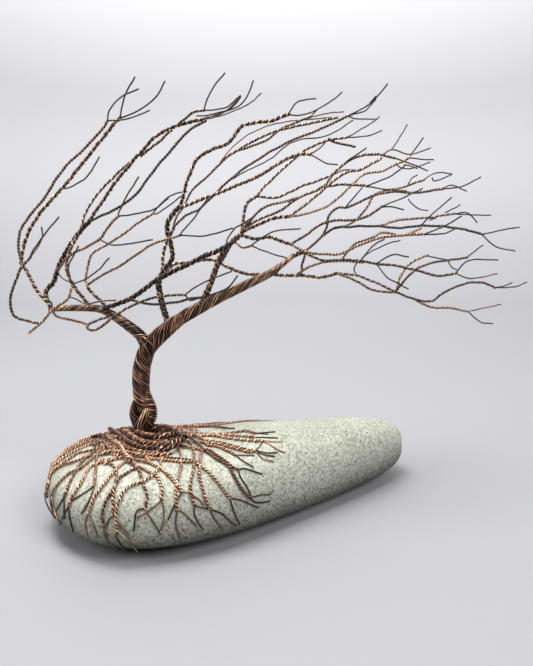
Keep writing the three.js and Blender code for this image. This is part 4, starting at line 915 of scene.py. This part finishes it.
# Branches of the cluster limb
CLUSTER_BRANCHES = {
    "cluster_back_branch": [
        (DOUBLE, (32.5, 67.5, 1), (32.5, 71, 5), (34, 77.3, 9), (37.3, 79.7, 12)),
        (PAIR, (37, 79.4, 11.8), (41, 84, 15), (48.7, 91, 18), (54.3, 95.3, 20), (61.3, 98.3, 22),
         (67.7, 99.3, 23)),
        (WIRE, (67.2, 99.2, 23), (74, 103, 24), (78.3, 106.2, 25)),
        (WIRE, (67.2, 99.2, 23), (74, 99.7, 24), (79, 101.5, 25)),
    ],
    "cluster_back_twig": [
        (PAIR, (37.3, 79.5, 11.8), (43.3, 79, 13), (48.3, 81, 14), (53.3, 83.3, 15), (62.7, 86.7, 16)),
        (WIRE, (62.2, 86.5, 16), (66.5, 88.3, 17), (71, 88.3, 18)),
    ],
    "cluster_short_branch": [
        (PAIR, (34.7, 70.5, 1), (38.3, 74.9, -1.5), (42.3, 77, -2), (45, 77.6, -1.5),
         (48.5, 78.4, 1.5), (51.7, 79.3, 4)),
    ],
    "cluster_upper_branch": [
        (PAIR, (33.3, 69.3, 1), (37.7, 71.7, 3.8), (42.3, 73.7, 4.5), (47, 76, 4.5), (51.7, 79.3, 4.5),
         (59.3, 82.7, 4.5), (62.7, 87, 5), (66.7, 90.7, 5.5), (71.7, 93, 5.5), (77, 93.7, 5.5),
         (83.3, 92.3, 5)),
        (WIRE, (82.8, 92.4, 5), (90, 89.7, 3), (94.3, 88.2, 3)),
        (WIRE, (79.3, 93.3, 5.3), (82.7, 95.3, 4), (88, 93.5, 3), (95.3, 95.7, 1)),
        (WIRE, (82.2, 95.1, 4), (84, 98, 5), (87.3, 103.3, 7)),
    ],
    "cluster_side_twig": [
        (PAIR, (58.5, 82.4, 4.5), (65, 83.5, 2), (74.3, 83, 0)),
        (WIRE, (73.8, 83, 0), (81, 86, -3), (86.7, 89.7, -6)),
        (WIRE, (73.8, 83, 0), (81, 81.8, 0), (87.3, 81.5, 0)),
    ],
    "cluster_centre_branch": [
        (DOUBLE, (33, 68, 0.5), (38.3, 70.3, -4), (43.3, 72.3, -5), (48.7, 72.7, -5)),
        (PAIR, (48.2, 72.7, -5), (52.7, 76.3, -4), (57.7, 80.3, -3.5), (63.3, 85, -2),
         (67.7, 87.7, -1.5), (72.3, 88.7, -0.5), (79, 92.5, 1.5)),
    ],
    "cluster_far_branch": [
        (PAIR, (48.4, 72.7, -4.8), (55.3, 74.3, 0), (58.3, 75.3, 3), (62.7, 77.7, 8), (68.3, 82.7, 13),
         (73, 87, 17), (79, 88, 19), (84, 90.3, 20), (88.3, 92.7, 20)),
        (WIRE, (87.8, 92.4, 20), (92.7, 99.2, 20)),
        (WIRE, (87.8, 92.4, 20), (96.3, 91.7, 22)),
    ],
    "cluster_level_branch": [
        (DOUBLE, (31.5, 66.7, 0.5), (37, 65.3, -2), (41, 66, -2), (45, 64.7, -2), (49, 63.3, -2)),
        (PAIR, (48.5, 63.4, -2), (53.3, 66.3, -1.5), (57.7, 69.7, -0.5), (61.7, 71.3, 0),
         (68.3, 71.7, 0), (74, 72.7, 0), (79, 76.3, 0)),
        (WIRE, (78.6, 76, 0), (85, 78.7, -1), (92.7, 82.3, -3)),
        (WIRE, (78.6, 76, 0), (82.5, 75.9, 0), (86.3, 75, 0)),
    ],
    "cluster_low_branch": [
        (PAIR, (48.7, 63.3, -2.2), (53.7, 61, -4.5), (59, 60.3, -5), (65.3, 60.5, -5), (73.7, 64.3, -5),
         (80.3, 66, -5), (93.3, 67, -5)),
        (WIRE, (92.8, 67, -5), (99.3, 69.3, -6), (105.7, 73, -8)),
        (WIRE, (92.8, 67, -5), (99.5, 67, -4.5), (103.7, 69, -4)),
    ],
    "cluster_front_twig": [
        (PAIR, (29.7, 64.7, 0.5), (32.5, 62.5, -4), (36, 63, -7)),
        (WIRE, (35.5, 62.9, -6.6), (42.3, 67.7, -12), (52, 68.7, -15)),
        (WIRE, (35.5, 62.9, -6.6), (41.7, 60.7, -11), (47, 59, -14)),
    ],
    "cluster_loose_wires": [
        (PAIR, (24.7, 57.7, 1.5), (24.3, 59.3, 3), (25.7, 61, 4), (27, 62.3, 4)),
        (PAIR, (25.7, 58, -1), (27, 60.3, -3), (28, 62.3, -3.5)),
        (WIRE, (27, 63.3, -3), (28, 66.3, -12), (30.3, 69, -17), (33, 70.7, -20), (35.7, 72.3, -21)),
        (PAIR, (61, 98.7, 22), (63.3, 97.7, 23), (66.7, 96.8, 24), (70, 96, 25)),
        (WIRE, (67.3, 91.3, 5.5), (70.3, 93.3, 3), (73.7, 95.7, 1)),
        (WIRE, (47.7, 77.7, -1.5), (49.3, 78.7, -3)),
        (WIRE, (86.3, 90, 3), (88.3, 89.7, 1), (90.7, 89, -1)),
        (WIRE, (83.7, 90.7, 20), (85, 89.3, 22), (86.7, 88.7, 24), (89.3, 89, 26), (95, 91, 28)),
    ],
}
grow("cluster_branches", CLUSTER_BRANCHES, 7)

# Branches of the right limb
RIGHT_BRANCHES = {
    "right_lower_branch": [
        (DOUBLE, (41.2, 53.9, 1.2), (46, 53.2, 4), (54.3, 53, 6), (59, 52.7, 7), (64.3, 54, 8)),
        (PAIR, (63.8, 54, 8), (68, 52.4, 9), (72.7, 50, 10), (77.7, 48, 11.5), (84, 47.7, 13)),
        (PAIR, (63.8, 54, 8), (70, 53.3, 9.5), (75.7, 51.3, 11), (84, 47.7, 13)),
        (PAIR, (83.5, 47.9, 13), (89.7, 45.3, 15), (95.3, 44.7, 17), (99.3, 47.3, 18), (105, 50, 20),
         (111.7, 51, 22), (116.7, 49, 24)),
        (WIRE, (116.2, 49.2, 23.8), (123.3, 49.3, 26), (127.3, 51, 27)),
        (WIRE, (116.2, 49.2, 23.8), (119.7, 49.7, 27), (122.3, 50.7, 29)),
    ],
    "right_lowest_twig": [
        (PAIR, (89.2, 45.6, 14.8), (95, 42.8, 18), (102.3, 42.3, 22), (108.3, 41, 26)),
        (WIRE, (107.8, 41.1, 25.8), (118.7, 43.7, 30)),
        (WIRE, (107.8, 41.1, 25.8), (111.7, 37.7, 28), (116, 37, 30)),
    ],
    "right_back_twig": [
        (PAIR, (83.7, 47.8, 13), (85.3, 53, 17), (88, 56.7, 20), (91, 58.7, 22), (94.3, 60, 24)),
        (WIRE, (93.8, 59.8, 23.8), (98, 58.7, 26), (101, 58.3, 28)),
    ],
    "right_middle_twig": [
        (PAIR, (83.5, 47.7, 12.6), (86, 50.7, 11), (88, 53.3, 11), (91, 55.7, 11.5), (94.3, 57, 13),
         (101, 58.3, 14), (107.7, 59.3, 15)),
        (WIRE, (107.2, 59.2, 15), (112.7, 63.3, 16)),
    ],
    "right_upper_branch": [
        (ROPE, (41.7, 53.9, 1), (45, 56.3, 1.8), (47.7, 58.7, 2.2), (50.3, 60.3, 2.5),
         (53.3, 61.3, 2.8)),
        (PAIR, (52.8, 61.1, 2.8), (57.3, 64.7, 3.5), (60, 68.3, 4), (61.3, 73, 4), (64, 75.7, 4.5),
         (67.3, 76, 5), (71.7, 77.7, 5), (76, 79.7, 6), (82.3, 81, 7), (89, 80.8, 7), (99.3, 82, 8)),
        (WIRE, (66.8, 76, 4.8), (70, 79.7, 5.5), (72.3, 82.5, 6.5)),
        (WIRE, (98.8, 82, 8), (102.3, 83.3, 8), (107.3, 81.3, 8)),
        (WIRE, (98.8, 82, 8), (105.7, 83, 9), (112, 86, 10)),
    ],
    "right_long_branch": [
        (PAIR, (58.4, 66, 3.8), (63.3, 69, 7), (68.3, 69.5, 8), (78.3, 69.7, 9), (85, 69, 10),
         (92.7, 69.7, 10), (100.3, 69.3, 11), (107, 68.5, 12), (113, 66.7, 12)),
        (WIRE, (112.5, 66.8, 12), (118.3, 68.3, 13), (124.7, 69.3, 14)),
        (WIRE, (112.5, 66.8, 12), (116.7, 63, 13), (123.3, 61.3, 14)),
        (WIRE, (92.2, 69.7, 10), (95.7, 73.7, 10), (102.3, 79.3, 11)),
    ],
    "right_far_twig": [
        (PAIR, (62.8, 68.8, 6.9), (68.3, 70.3, 14), (71.3, 72.7, 17), (74.3, 76.3, 20),
         (77.3, 80.6, 23), (86.7, 82.8, 27), (93.3, 85.3, 28)),
        (WIRE, (92.8, 85.1, 28), (97, 87.3, 29), (102.3, 87, 31)),
    ],
    "right_hind_twig": [
        (PAIR, (77.8, 69.7, 9), (83.3, 71.3, 16), (86.7, 72, 20), (95.7, 72.7, 24), (103.3, 73.7, 26)),
        (WIRE, (102.8, 73.6, 26), (107.5, 74, 28), (110.7, 70.7, 30)),
        (WIRE, (102.8, 73.6, 26), (115.3, 73.2, 31)),
    ],
    "right_level_branch": [
        (PAIR, (52.9, 61, 2.6), (58.3, 58.4, -1), (65, 58.4, -2), (71, 58.1, -2), (77.7, 57, -2),
         (84.3, 56.3, -1), (90.3, 55, 1), (98.3, 53, 3), (104, 54.3, 4)),
        (WIRE, (77.2, 57.1, -2), (82.3, 60, -6), (88, 59.3, -9)),
        (WIRE, (77.2, 57.1, -2), (80.7, 52.7, -6), (88, 48.7, -9)),
        (WIRE, (103.5, 54.1, 4), (107.7, 58, 4), (117.7, 58.3, 5)),
        (WIRE, (103.5, 54.1, 4), (108.3, 52.3, 5), (117.3, 53.7, 7)),
    ],
    "right_short_twig": [
        (PAIR, (50, 53, 5), (55, 56, 3), (60, 57.7, 2), (66.7, 58, 2), (73.3, 57.7, 2)),
    ],
    "right_rising_twig": [
        (PAIR, (65.7, 58.4, -2), (68.3, 62.2, -1), (71, 64.3, -1), (76, 66, 0), (79.3, 67.5, 2),
         (86, 66.5, 4), (92, 69, 9)),
    ],
    "right_loose_wires": [
        (PAIR, (52, 53.3, 6), (52.3, 56.3, 5), (53, 59, 4), (53.3, 61, 3)),
        (WIRE, (72, 58.3, -2), (73.7, 60.3, -6), (75.7, 62.7, -9), (77.7, 64.3, -12), (79.7, 65.3, -14)),
        (WIRE, (72.3, 59, 3), (75, 61, 10), (77.7, 62.3, 15), (81.7, 64, 20), (85, 65, 24)),
        (WIRE, (70.7, 57.7, 0), (69.7, 55.3, 3), (70.7, 53, 6)),
        (WIRE, (101, 58, 14), (102, 56, 17), (104, 55, 19)),
        (WIRE, (95, 71.7, 10), (97, 72.3, 7)),
        (WIRE, (95.7, 85.7, 29), (96.3, 84.7, 31), (99, 85.3, 33), (102.3, 87, 35)),
        (WIRE, (87.7, 78.7, 20), (89, 77, 24), (91.7, 75.3, 27), (94.3, 74.7, 29)),
        (WIRE, (100, 74, 24), (103.3, 75.7, 27), (105, 76.7, 29)),
        (WIRE, (87.7, 83.7, 26), (89, 85.7, 29), (91, 86.7, 31)),
    ],
}
grow("right_branches", RIGHT_BRANCHES, 8)


# --- The coil round the foot ----------------------------------------------------------------
# Below the trunk the bundles are wound round the foot over the pebble's crown, into a mat of
# ropes and pairs that lie over and under each other. It holds the tree upright on the stone.

COIL_CENTRE = np.array((FOOT[0] + 1.5, FOOT[1] - 3))
COIL_OVAL = 1.12  # how much wider than deep the windings are
WINDING_STEP = 14  # degrees between a winding's points
FEWEST_POINTS = 6
LEAST_LIFT = 0.45
DRAPE_STEP = 1.6
ABOVE_STONE = 60.0
LINE_STRETCH = 1.6  # how many times its own length a sight line is followed
LINE_STEPS = 3200


def pebble_field(point, lift):
    """Below zero inside the pebble grown by lift all round, above zero outside it."""
    x, y, z = np.moveaxis(point, -1, 0)
    x = x - PEBBLE_CENTRE[0]
    y = y - PEBBLE_CENTRE[1]
    u = x * math.cos(PEBBLE_TURN) + y * math.sin(PEBBLE_TURN)
    w = y * math.cos(PEBBLE_TURN) - x * math.sin(PEBBLE_TURN)
    h = z - PEBBLE_LEVEL
    along = u / (PEBBLE_HALF_LENGTH + lift)
    within = np.clip(along, -1, 1)
    across = w / (half_width(within) + lift)
    half = np.where(h > 0, crown_height(within, across), PEBBLE_BOTTOM) + lift
    plan = np.abs(along) ** PLAN_POWER + np.abs(across) ** PLAN_POWER
    return plan ** (PROFILE_POWER / PLAN_POWER) + np.abs(h / half) ** PROFILE_POWER - 1


def lay_on_pebble(starts, lines, lift):
    """The first points at which lines from the starts meet the grown pebble, or the nearest."""
    shares = np.linspace(0, LINE_STRETCH, LINE_STEPS)
    tried = starts[:, None, :] + lines[:, None, :] * shares[None, :, None]
    field_there = pebble_field(tried, np.reshape(lift, (-1, 1)))
    inside = field_there < 0
    first = np.where(inside.any(1), inside.argmax(1), field_there.argmin(1))
    return tried[np.arange(len(tried)), first]


def crown_at(plan, lift):
    """Points on the grown pebble straight below the plan's points."""
    above = np.column_stack((plan, np.full(len(plan), ABOVE_STONE)))
    down = np.tile((0.0, 0.0, -ABOVE_STONE), (len(plan), 1))
    return lay_on_pebble(above, down, lift)


def winding(chance, radius, start, sweep, lift, wander):
    """A line wound round the foot: radius, start and sweep in degrees, lift over the stone."""
    count = max(FEWEST_POINTS, int(abs(sweep) / WINDING_STEP))
    angles = np.radians(start + np.linspace(0, sweep, count))
    sway = chance.uniform(0, 6.28)
    radii = radius + wander * np.sin(angles * chance.choice((2, 3)) + sway)
    lifts = lift * (0.75 + 0.25 * np.sin(angles * chance.choice((3, 4, 5)) + sway * 2))
    plan = np.column_stack((COIL_CENTRE[0] + radii * np.cos(angles) * COIL_OVAL,
                            COIL_CENTRE[1] + radii * np.sin(angles)))
    return crown_at(plan, np.maximum(lifts, LEAST_LIFT))


def drape(view, route, lift):
    """A line drawn on the sighting board, laid on the stone along the eye's sight lines."""
    eye, forward, up = view
    route = np.array(route, float)
    reach = np.concatenate(([0], np.cumsum(np.linalg.norm(np.diff(route, axis=0), axis=1))))
    even = np.linspace(0, reach[-1], max(3, int(reach[-1] / DRAPE_STEP)))
    x = np.interp(even, reach, route[:, 0])
    z = np.interp(even, reach, route[:, 1])
    lines = forward * EYE_REACH + np.outer(z - EYE_UP, up)
    lines[:, 0] += x - EYE_ACROSS
    lifts = np.interp(even, reach, np.broadcast_to(lift, len(reach)))
    return lay_on_pebble(np.tile(eye, (len(even), 1)), lines, lifts)


HEAVY = dict(ROPE, strands=4, reach=0.66, lay=7, valley=0.76, crest=1.13)

# Radius and lift of each rope's winding: those that go nearly all the way round, and those that
# go from the back round the left
FULL_WINDINGS = ((4.6, 1.4), (6.4, 1.2), (5.4, 2.4), (8, 1.1))
LEFT_WINDINGS = ((5.8, 3.1), (6.9, 2.6), (8, 2.1), (9.2, 1.6), (7.4, 3.2))
THIN_WINDINGS = 17
THIN_RADIUS = 8.2
THIN_SPACING = 0.42

coil_lines = []
chance = random.Random(11)
for radius, lift in FULL_WINDINGS:
    start = chance.uniform(0, 360)
    coil_lines.append((ROPE, winding(chance, radius, start, 350, lift, 0.5), 0.4))
for radius, lift in LEFT_WINDINGS:
    coil_lines.append((ROPE, winding(chance, radius, 80, 165, lift, 0.4), 0.35))
for number in range(THIN_WINDINGS):
    radius = THIN_RADIUS + THIN_SPACING * number
    start = chance.uniform(0, 360)
    lift = chance.uniform(0.6, 2.4 - radius * 0.1)
    sweep = chance.uniform(130, 260)
    make_up = chance.choice((PAIR, PAIR, DOUBLE))
    line = winding(chance, radius, start, sweep, lift, 0.9)
    coil_lines.append((make_up, line, chance.uniform(0.1, 0.45)))

# Make-up, lift over the stone, patina and route of the ropes that lie on top in front
COIL_ROPES = [
    (ROPE, 1.4, 0.3, ((-17.4, -0.7), (-13.6, -0.2), (-9.8, 0.7), (-6, 1.2), (-4, 1.4))),
    (ROPE, 1.5, 0.25, ((-13.4, -0.8), (-11.2, 0.9), (-7.9, 1.9), (-5, 2.2))),
    (ROPE, 1.2, 0.2, ((-14.5, 0.2), (-11.7, -1.7), (-8.8, -3.6), (-5, -5), (-0.2, -6.2), (4.5, -6),
                      (8, -5))),
    (ROPE, 2, 0.3, ((-11.7, 2.1), (-8.8, 0.2), (-6, -2.1), (-2.1, -4), (2.6, -4.5), (6.9, -4.8),
                    (10, -3.6))),
    (HEAVY, 2.8, 0.3, ((-6.5, 1), (-5, -0.2), (-2.1, -2.1), (2.1, -3.1), (6.9, -3.6), (9.3, -2.6),
                       (12.6, -1.2))),
    (HEAVY, 3, 0.35, ((-3, 0.6), (-1.2, 0.2), (2.1, -0.7), (6.9, -0.4), (10.2, 0.8), (11.5, 2))),
    (HEAVY, 2.6, 0.45, ((3.5, 2.6), (6.5, 2.8), (9, 1.8), (11, 0.4), (13.5, -0.8))),
    (DOUBLE, 1.8, 0.15, ((-9.7, -2.2), (-8.3, -3.3), (-7.5, -4.7), (-7, -6), (-6.1, -7.2), (-4.7, -8.3))),
    (DOUBLE, 1.1, 0.15, ((-14.5, -6.3), (-12.5, -5.6), (-7.8, -5.6), (-1.7, -6.6), (5, -6.6), (9, -6))),
    (PAIR, 0.7, 0.1, ((-15.5, -8.8), (-11.7, -7.9), (-7.4, -7.4), (-2.6, -8.3), (2.1, -9.3))),
    (PAIR, 0.7, 0.1, ((6, -7.4), (11.2, -7.9), (15, -8.3), (17.4, -9.3))),
    (PAIR, 1.2, 0.1, ((-16, -2.7), (-13.7, -2.3), (-13, -4))),
]
for make_up, lift, patina, route in COIL_ROPES:
    coil_lines.append((make_up, drape(FRONT, route, lift), patina))
add_wires("coil_wires", coil_lines, 9, [])


# --- The roots ------------------------------------------------------------------------------
# From the coil the pairs run out over the pebble and follow it closely down its sides. Near the
# stone's widest level each pair parts, and its two wires are bent away as bare root tips.

PAIR_LIFT = 0.45 + 0.12
TIP_LIFT = 0.24
TIP_CREST = 0.42
COIL_EDGE = 8.5  # how far from the foot's middle a root comes out from under the coil

# Four points that lead a root out of the coil: how much of its sideways lean is left, how much
# of the way out is done, and its lift over the stone
LEAN_LEFT = np.array((1, 0.72, 0.38, 0.12))
WAY_OUT = np.array((0, 0.1, 0.35, 0.72))
COMING_DOWN = np.array((1.6, 1.5, 1.2, 0.8))

# A root in front: its pair, and the tips that its wires end in
FRONT_ROOTS = [
    (((-13.3, 0), (-18.3, -1.3), (-23.3, -3.3), (-28.3, -6.3), (-30.8, -9.3), (-32, -14),
      (-32.7, -18.7), (-32.7, -21)), ()),
    (((-12, 1), (-17, 0), (-22.5, -2.2), (-27, -5.2), (-30.2, -8.7), (-31.9, -13)), ()),
    (((-14, -1), (-19.5, -2.5), (-24.5, -4.8), (-29, -8), (-31.2, -11.3), (-32.3, -16)), ()),
    (((-14, -3.8), (-18, -5), (-22.5, -6), (-26.5, -8.6), (-29.8, -11), (-32, -14)), ()),
    (((-15, -2), (-20, -3.7), (-24.7, -6), (-28.3, -8.3), (-31, -11), (-32, -14.3)), ()),
    (((-11.7, -5.7), (-15.7, -6.7), (-20, -7.3), (-24, -9), (-28.3, -10.3), (-31, -12.3), (-32.3, -15),
      (-33.3, -19.7)), (((-33.3, -20.7), (-33, -22.7), (-31.3, -25.7), (-30, -27.7)),)),
    (((-16, -5), (-18.3, -6.3), (-20.3, -8), (-21.7, -9.7), (-23.7, -13), (-25.3, -16), (-27, -20.7)),
     (((-29.8, -25.3),), ((-27, -28),))),
    (((-16, -6.2), (-18.7, -8.7), (-21.7, -11.2), (-25.3, -12.5), (-28.3, -15.3), (-30.3, -18),
      (-31.3, -20.3)), (((-31.3, -24), (-30, -27.3)), ((-30, -26), (-28.3, -29.7)))),
    (((-10, -8), (-13.7, -8.7), (-17.3, -10), (-19, -11), (-20.7, -14.7), (-23.3, -19), (-24.5, -20.7),
      (-25.7, -24)), (((-25, -28), (-24, -32.3)), ((-27, -26.3), (-28.3, -29.7)))),
    (((-15.7, -5), (-16.3, -7.7), (-16.3, -9.7), (-16.5, -12), (-16.8, -15), (-17.3, -17.3)),
     (((-20, -19.2), (-24.7, -22)), ((-17.7, -19.7), (-19.7, -23.9), (-21.3, -26.2)))),
    (((-4.7, -8.3), (-6.7, -8.8), (-8.3, -10), (-9.5, -11.3), (-10.8, -12.7), (-14, -16.7), (-17, -20.8),
      (-18, -23), (-18.8, -26)),
     (((-20, -28.3), (-20, -30.7), (-19.1, -34.2)), ((-17.5, -28.9), (-15.8, -34.3)))),
    (((-13.7, -9.5), (-12, -9.3), (-10.3, -10.5), (-9.5, -12.3), (-9.7, -14.3), (-10.1, -17.3),
      (-10.7, -19.7), (-10.7, -26.7)), (((-12.3, -28.3), (-13, -31.7)), ((-8.7, -29.2), (-4.7, -34.7)))),
    (((-3.3, -10.7), (-6.3, -12.8), (-8, -13.7), (-9, -15), (-10, -17), (-12, -20), (-13.3, -22.7),
      (-14.2, -25.3), (-14.3, -27.7), (-13.8, -31)),
     (((-13.5, -33), (-13, -34.7)), ((-12, -33), (-10.7, -34)), ((-12.3, -36), (-9.2, -38.3)))),
    (((5.7, -5.2), (5.7, -7.3), (5, -9.7), (3.8, -12.3), (1.7, -14.1), (-1.3, -15.6), (-5.3, -17),
      (-7.3, -19), (-8.3, -21), (-9.5, -24), (-9.8, -27.3), (-9.5, -30.7), (-9.3, -32)),
     (((-9.7, -34.3), (-7.3, -37.5), (-5.8, -39.3)), ((-5.3, -35.6), (-2.7, -38.7)))),
    (((-5.8, -8.7), (-4, -9.2), (-2.7, -10.7), (-1.8, -12.3), (-1, -15), (-0.2, -17.3), (0.7, -19.7),
      (0.7, -21.7), (0.1, -23.7), (0, -24.8)),
     (((-2, -24.7), (-3, -25.7), (-3.3, -28), (-3.7, -32)), ((3.6, -30.3), (5.3, -33.3)))),
    (((-3, -10), (-0.8, -11), (1.7, -12.5), (3.7, -13.3), (5, -15.7), (5.7, -18), (5.5, -21.7)),
     (((4.3, -23), (1.8, -25), (-2.3, -27.5)), ((6.3, -24.3), (6.3, -28.2), (5.3, -31.8)))),
    (((1.7, -9.3), (5, -10.8), (8.3, -13.8), (11, -16.5), (12.5, -18.9)),
     (((14.6, -19.2), (18.2, -21.7), (19.6, -23.5)), ((10.3, -22.3), (7.7, -28.3)))),
    (((10.7, -3.2), (11.9, -6), (12, -10.5), (10.8, -15), (10.2, -18.7), (10.6, -22.7), (10.7, -25)),
     (((13.1, -26), (17.2, -30.5)), ((10.1, -29.7), (11.7, -34.3)))),
    (((15.2, -2.7), (16.3, -6), (16.3, -10.7), (15.3, -15.3), (15, -17.3), (15.9, -21.7), (16.7, -23.5)),
     (((20.7, -24.7), (22.5, -25)), ((16.2, -26.3), (18.3, -30.1), (19.5, -31.5)))),
    (((18.6, -5), (18.3, -9.3), (18.1, -13.8), (19.3, -18), (20.3, -21.7), (21.7, -24.7)),
     (((25.3, -26), (30.3, -30.3)), ((22.7, -27.3), (26.3, -31.7)))),
    (((1.7, -7.7), (6.2, -8.3), (12.2, -8.7), (16.3, -8.9), (20, -11.1), (23.5, -14.7), (26.5, -18.6),
      (28.3, -21)), (((31.9, -21.7), (38, -24.3)), ((29.5, -25.3), (31.6, -29.7)))),
    (((20, -5.1), (23.8, -7.8), (28, -10.2), (29.8, -13.8), (32.5, -18.3), (35, -21)),
     (((38.7, -19.9), (41.7, -19.8), (43, -18.3)), ((36, -22.3), (38.3, -22.7), (41.7, -22)))),
    (((21.3, -5), (25.6, -7.8), (29.5, -10.8), (31.2, -11.5)),
     (((31.9, -10.8), (36, -12), (39, -13)), ((31.7, -14), (34.3, -17.7), (35.3, -20.3)))),
    (((20.7, -3.3), (24.3, -3.7), (28.6, -5.7), (30.3, -6.7)),
     (((33.3, -6.7), (36.5, -6.8)), ((31.7, -8.1), (36.2, -10.7)))),
    (((20, -1.7), (25, -2.3), (30.3, -3.7), (34.9, -5.1), (36.3, -5)),
     (((38.3, -5.5), (41.3, -6), (44.1, -5.8)), ((39, -7.8), (43, -8.9)))),
    (((18, -2.3), (24, -2.9), (29.6, -4.3), (34.2, -5.6), (36, -5.4)),
     (((37.5, -4.6), (38.9, -2.7)), ((40.3, -6.7), (43.2, -7.1)))),
    (((16.7, 0.7), (21, 0.3), (26.5, 0.4), (31.6, 1.3), (34, 1.5), (36.7, 0.6)),
     (((41.2, 0.3),), ((43.5, 1.1),))),
    (((18, 0), (27.7, 0), (33, -0.3), (37, -0.7)), (((44.3, -1),),)),
    (((18, -0.3), (22.3, 0), (27.7, -1), (33, -1.7), (40, -2)),
     (((43, -2.2), (45.8, -2.1)), ((44.2, -4.9), (46.7, -5.9)))),
    (((12, 2.8), (16, 2.8), (22, 3), (27.3, 2.3)), (((29.9, 2.2),),)),
]

# The roots on the far side, as seen from behind
BACK_ROOTS = [
    (((-16, -2), (-22, -6), (-27, -12), (-29, -18)), (((-31, -22), (-31, -26)), ((-28, -23), (-26, -27)))),
    (((-12, -4), (-16, -10), (-19, -16), (-18, -22)), (((-20, -26), (-23, -28)), ((-17, -27), (-14, -30)))),
    (((-6, -5), (-9, -11), (-13, -17), (-12, -24)), (((-13, -28), (-11, -32)), ((-9, -27), (-6, -29)))),
    (((0, -6), (-2, -12), (-5, -19), (-3, -25)), (((-4, -29), (-7, -32)), ((-1, -28), (1, -33)))),
    (((6, -6), (5, -13), (8, -19), (6, -25)), (((5, -29), (7, -33)), ((9, -27), (13, -30)))),
    (((11, -5), (14, -11), (15, -18), (19, -23)), (((22, -25), (26, -26)), ((19, -27), (21, -31)))),
    (((16, -4), (21, -9), (24, -14), (29, -19)), (((32, -20), (36, -23)), ((30, -23), (32, -27)))),
    (((20, -2), (27, -5), (32, -9), (38, -12)), (((41, -12), (45, -14)), ((39, -16), (42, -19)))),
]


def root_lines(view, roots, chance):
    """Each root as a pair that leaves the coil and follows the stone, and its bare tips."""
    lines = []
    for pair, tips in roots:
        laid = drape(view, pair, PAIR_LIFT)
        out = laid[0, :2] - COIL_CENTRE
        bearing = math.atan2(out[1], out[0])
        distance = np.linalg.norm(out)
        lean = chance.choice((-1, 1)) * chance.uniform(0.5, 1.1)
        bearings = bearing + lean * LEAN_LEFT
        reaches = COIL_EDGE + (distance - COIL_EDGE) * WAY_OUT
        plan = COIL_CENTRE + np.column_stack((reaches * np.cos(bearings), reaches * np.sin(bearings)))
        start = crown_at(plan, COMING_DOWN)
        lines.append((PAIR, np.vstack((start, laid)), chance.uniform(0.0, 0.25)))
        for tip in tips:
            bare = drape(view, (pair[-1], *tip), TIP_LIFT)
            lines.append((dict(WIRE, crest=TIP_CREST), bare, chance.uniform(0.3, 0.8)))
    return lines


root_chance = random.Random(12)
front_half = len(FRONT_ROOTS) // 2
add_wires("left_root_wires", root_lines(FRONT, FRONT_ROOTS[:front_half], root_chance), 10, ["roots"])
add_wires("right_root_wires", root_lines(FRONT, FRONT_ROOTS[front_half:], root_chance), 11, ["roots"])
add_wires("back_root_wires", root_lines(BEHIND, BACK_ROOTS, root_chance), 12, ["roots"])
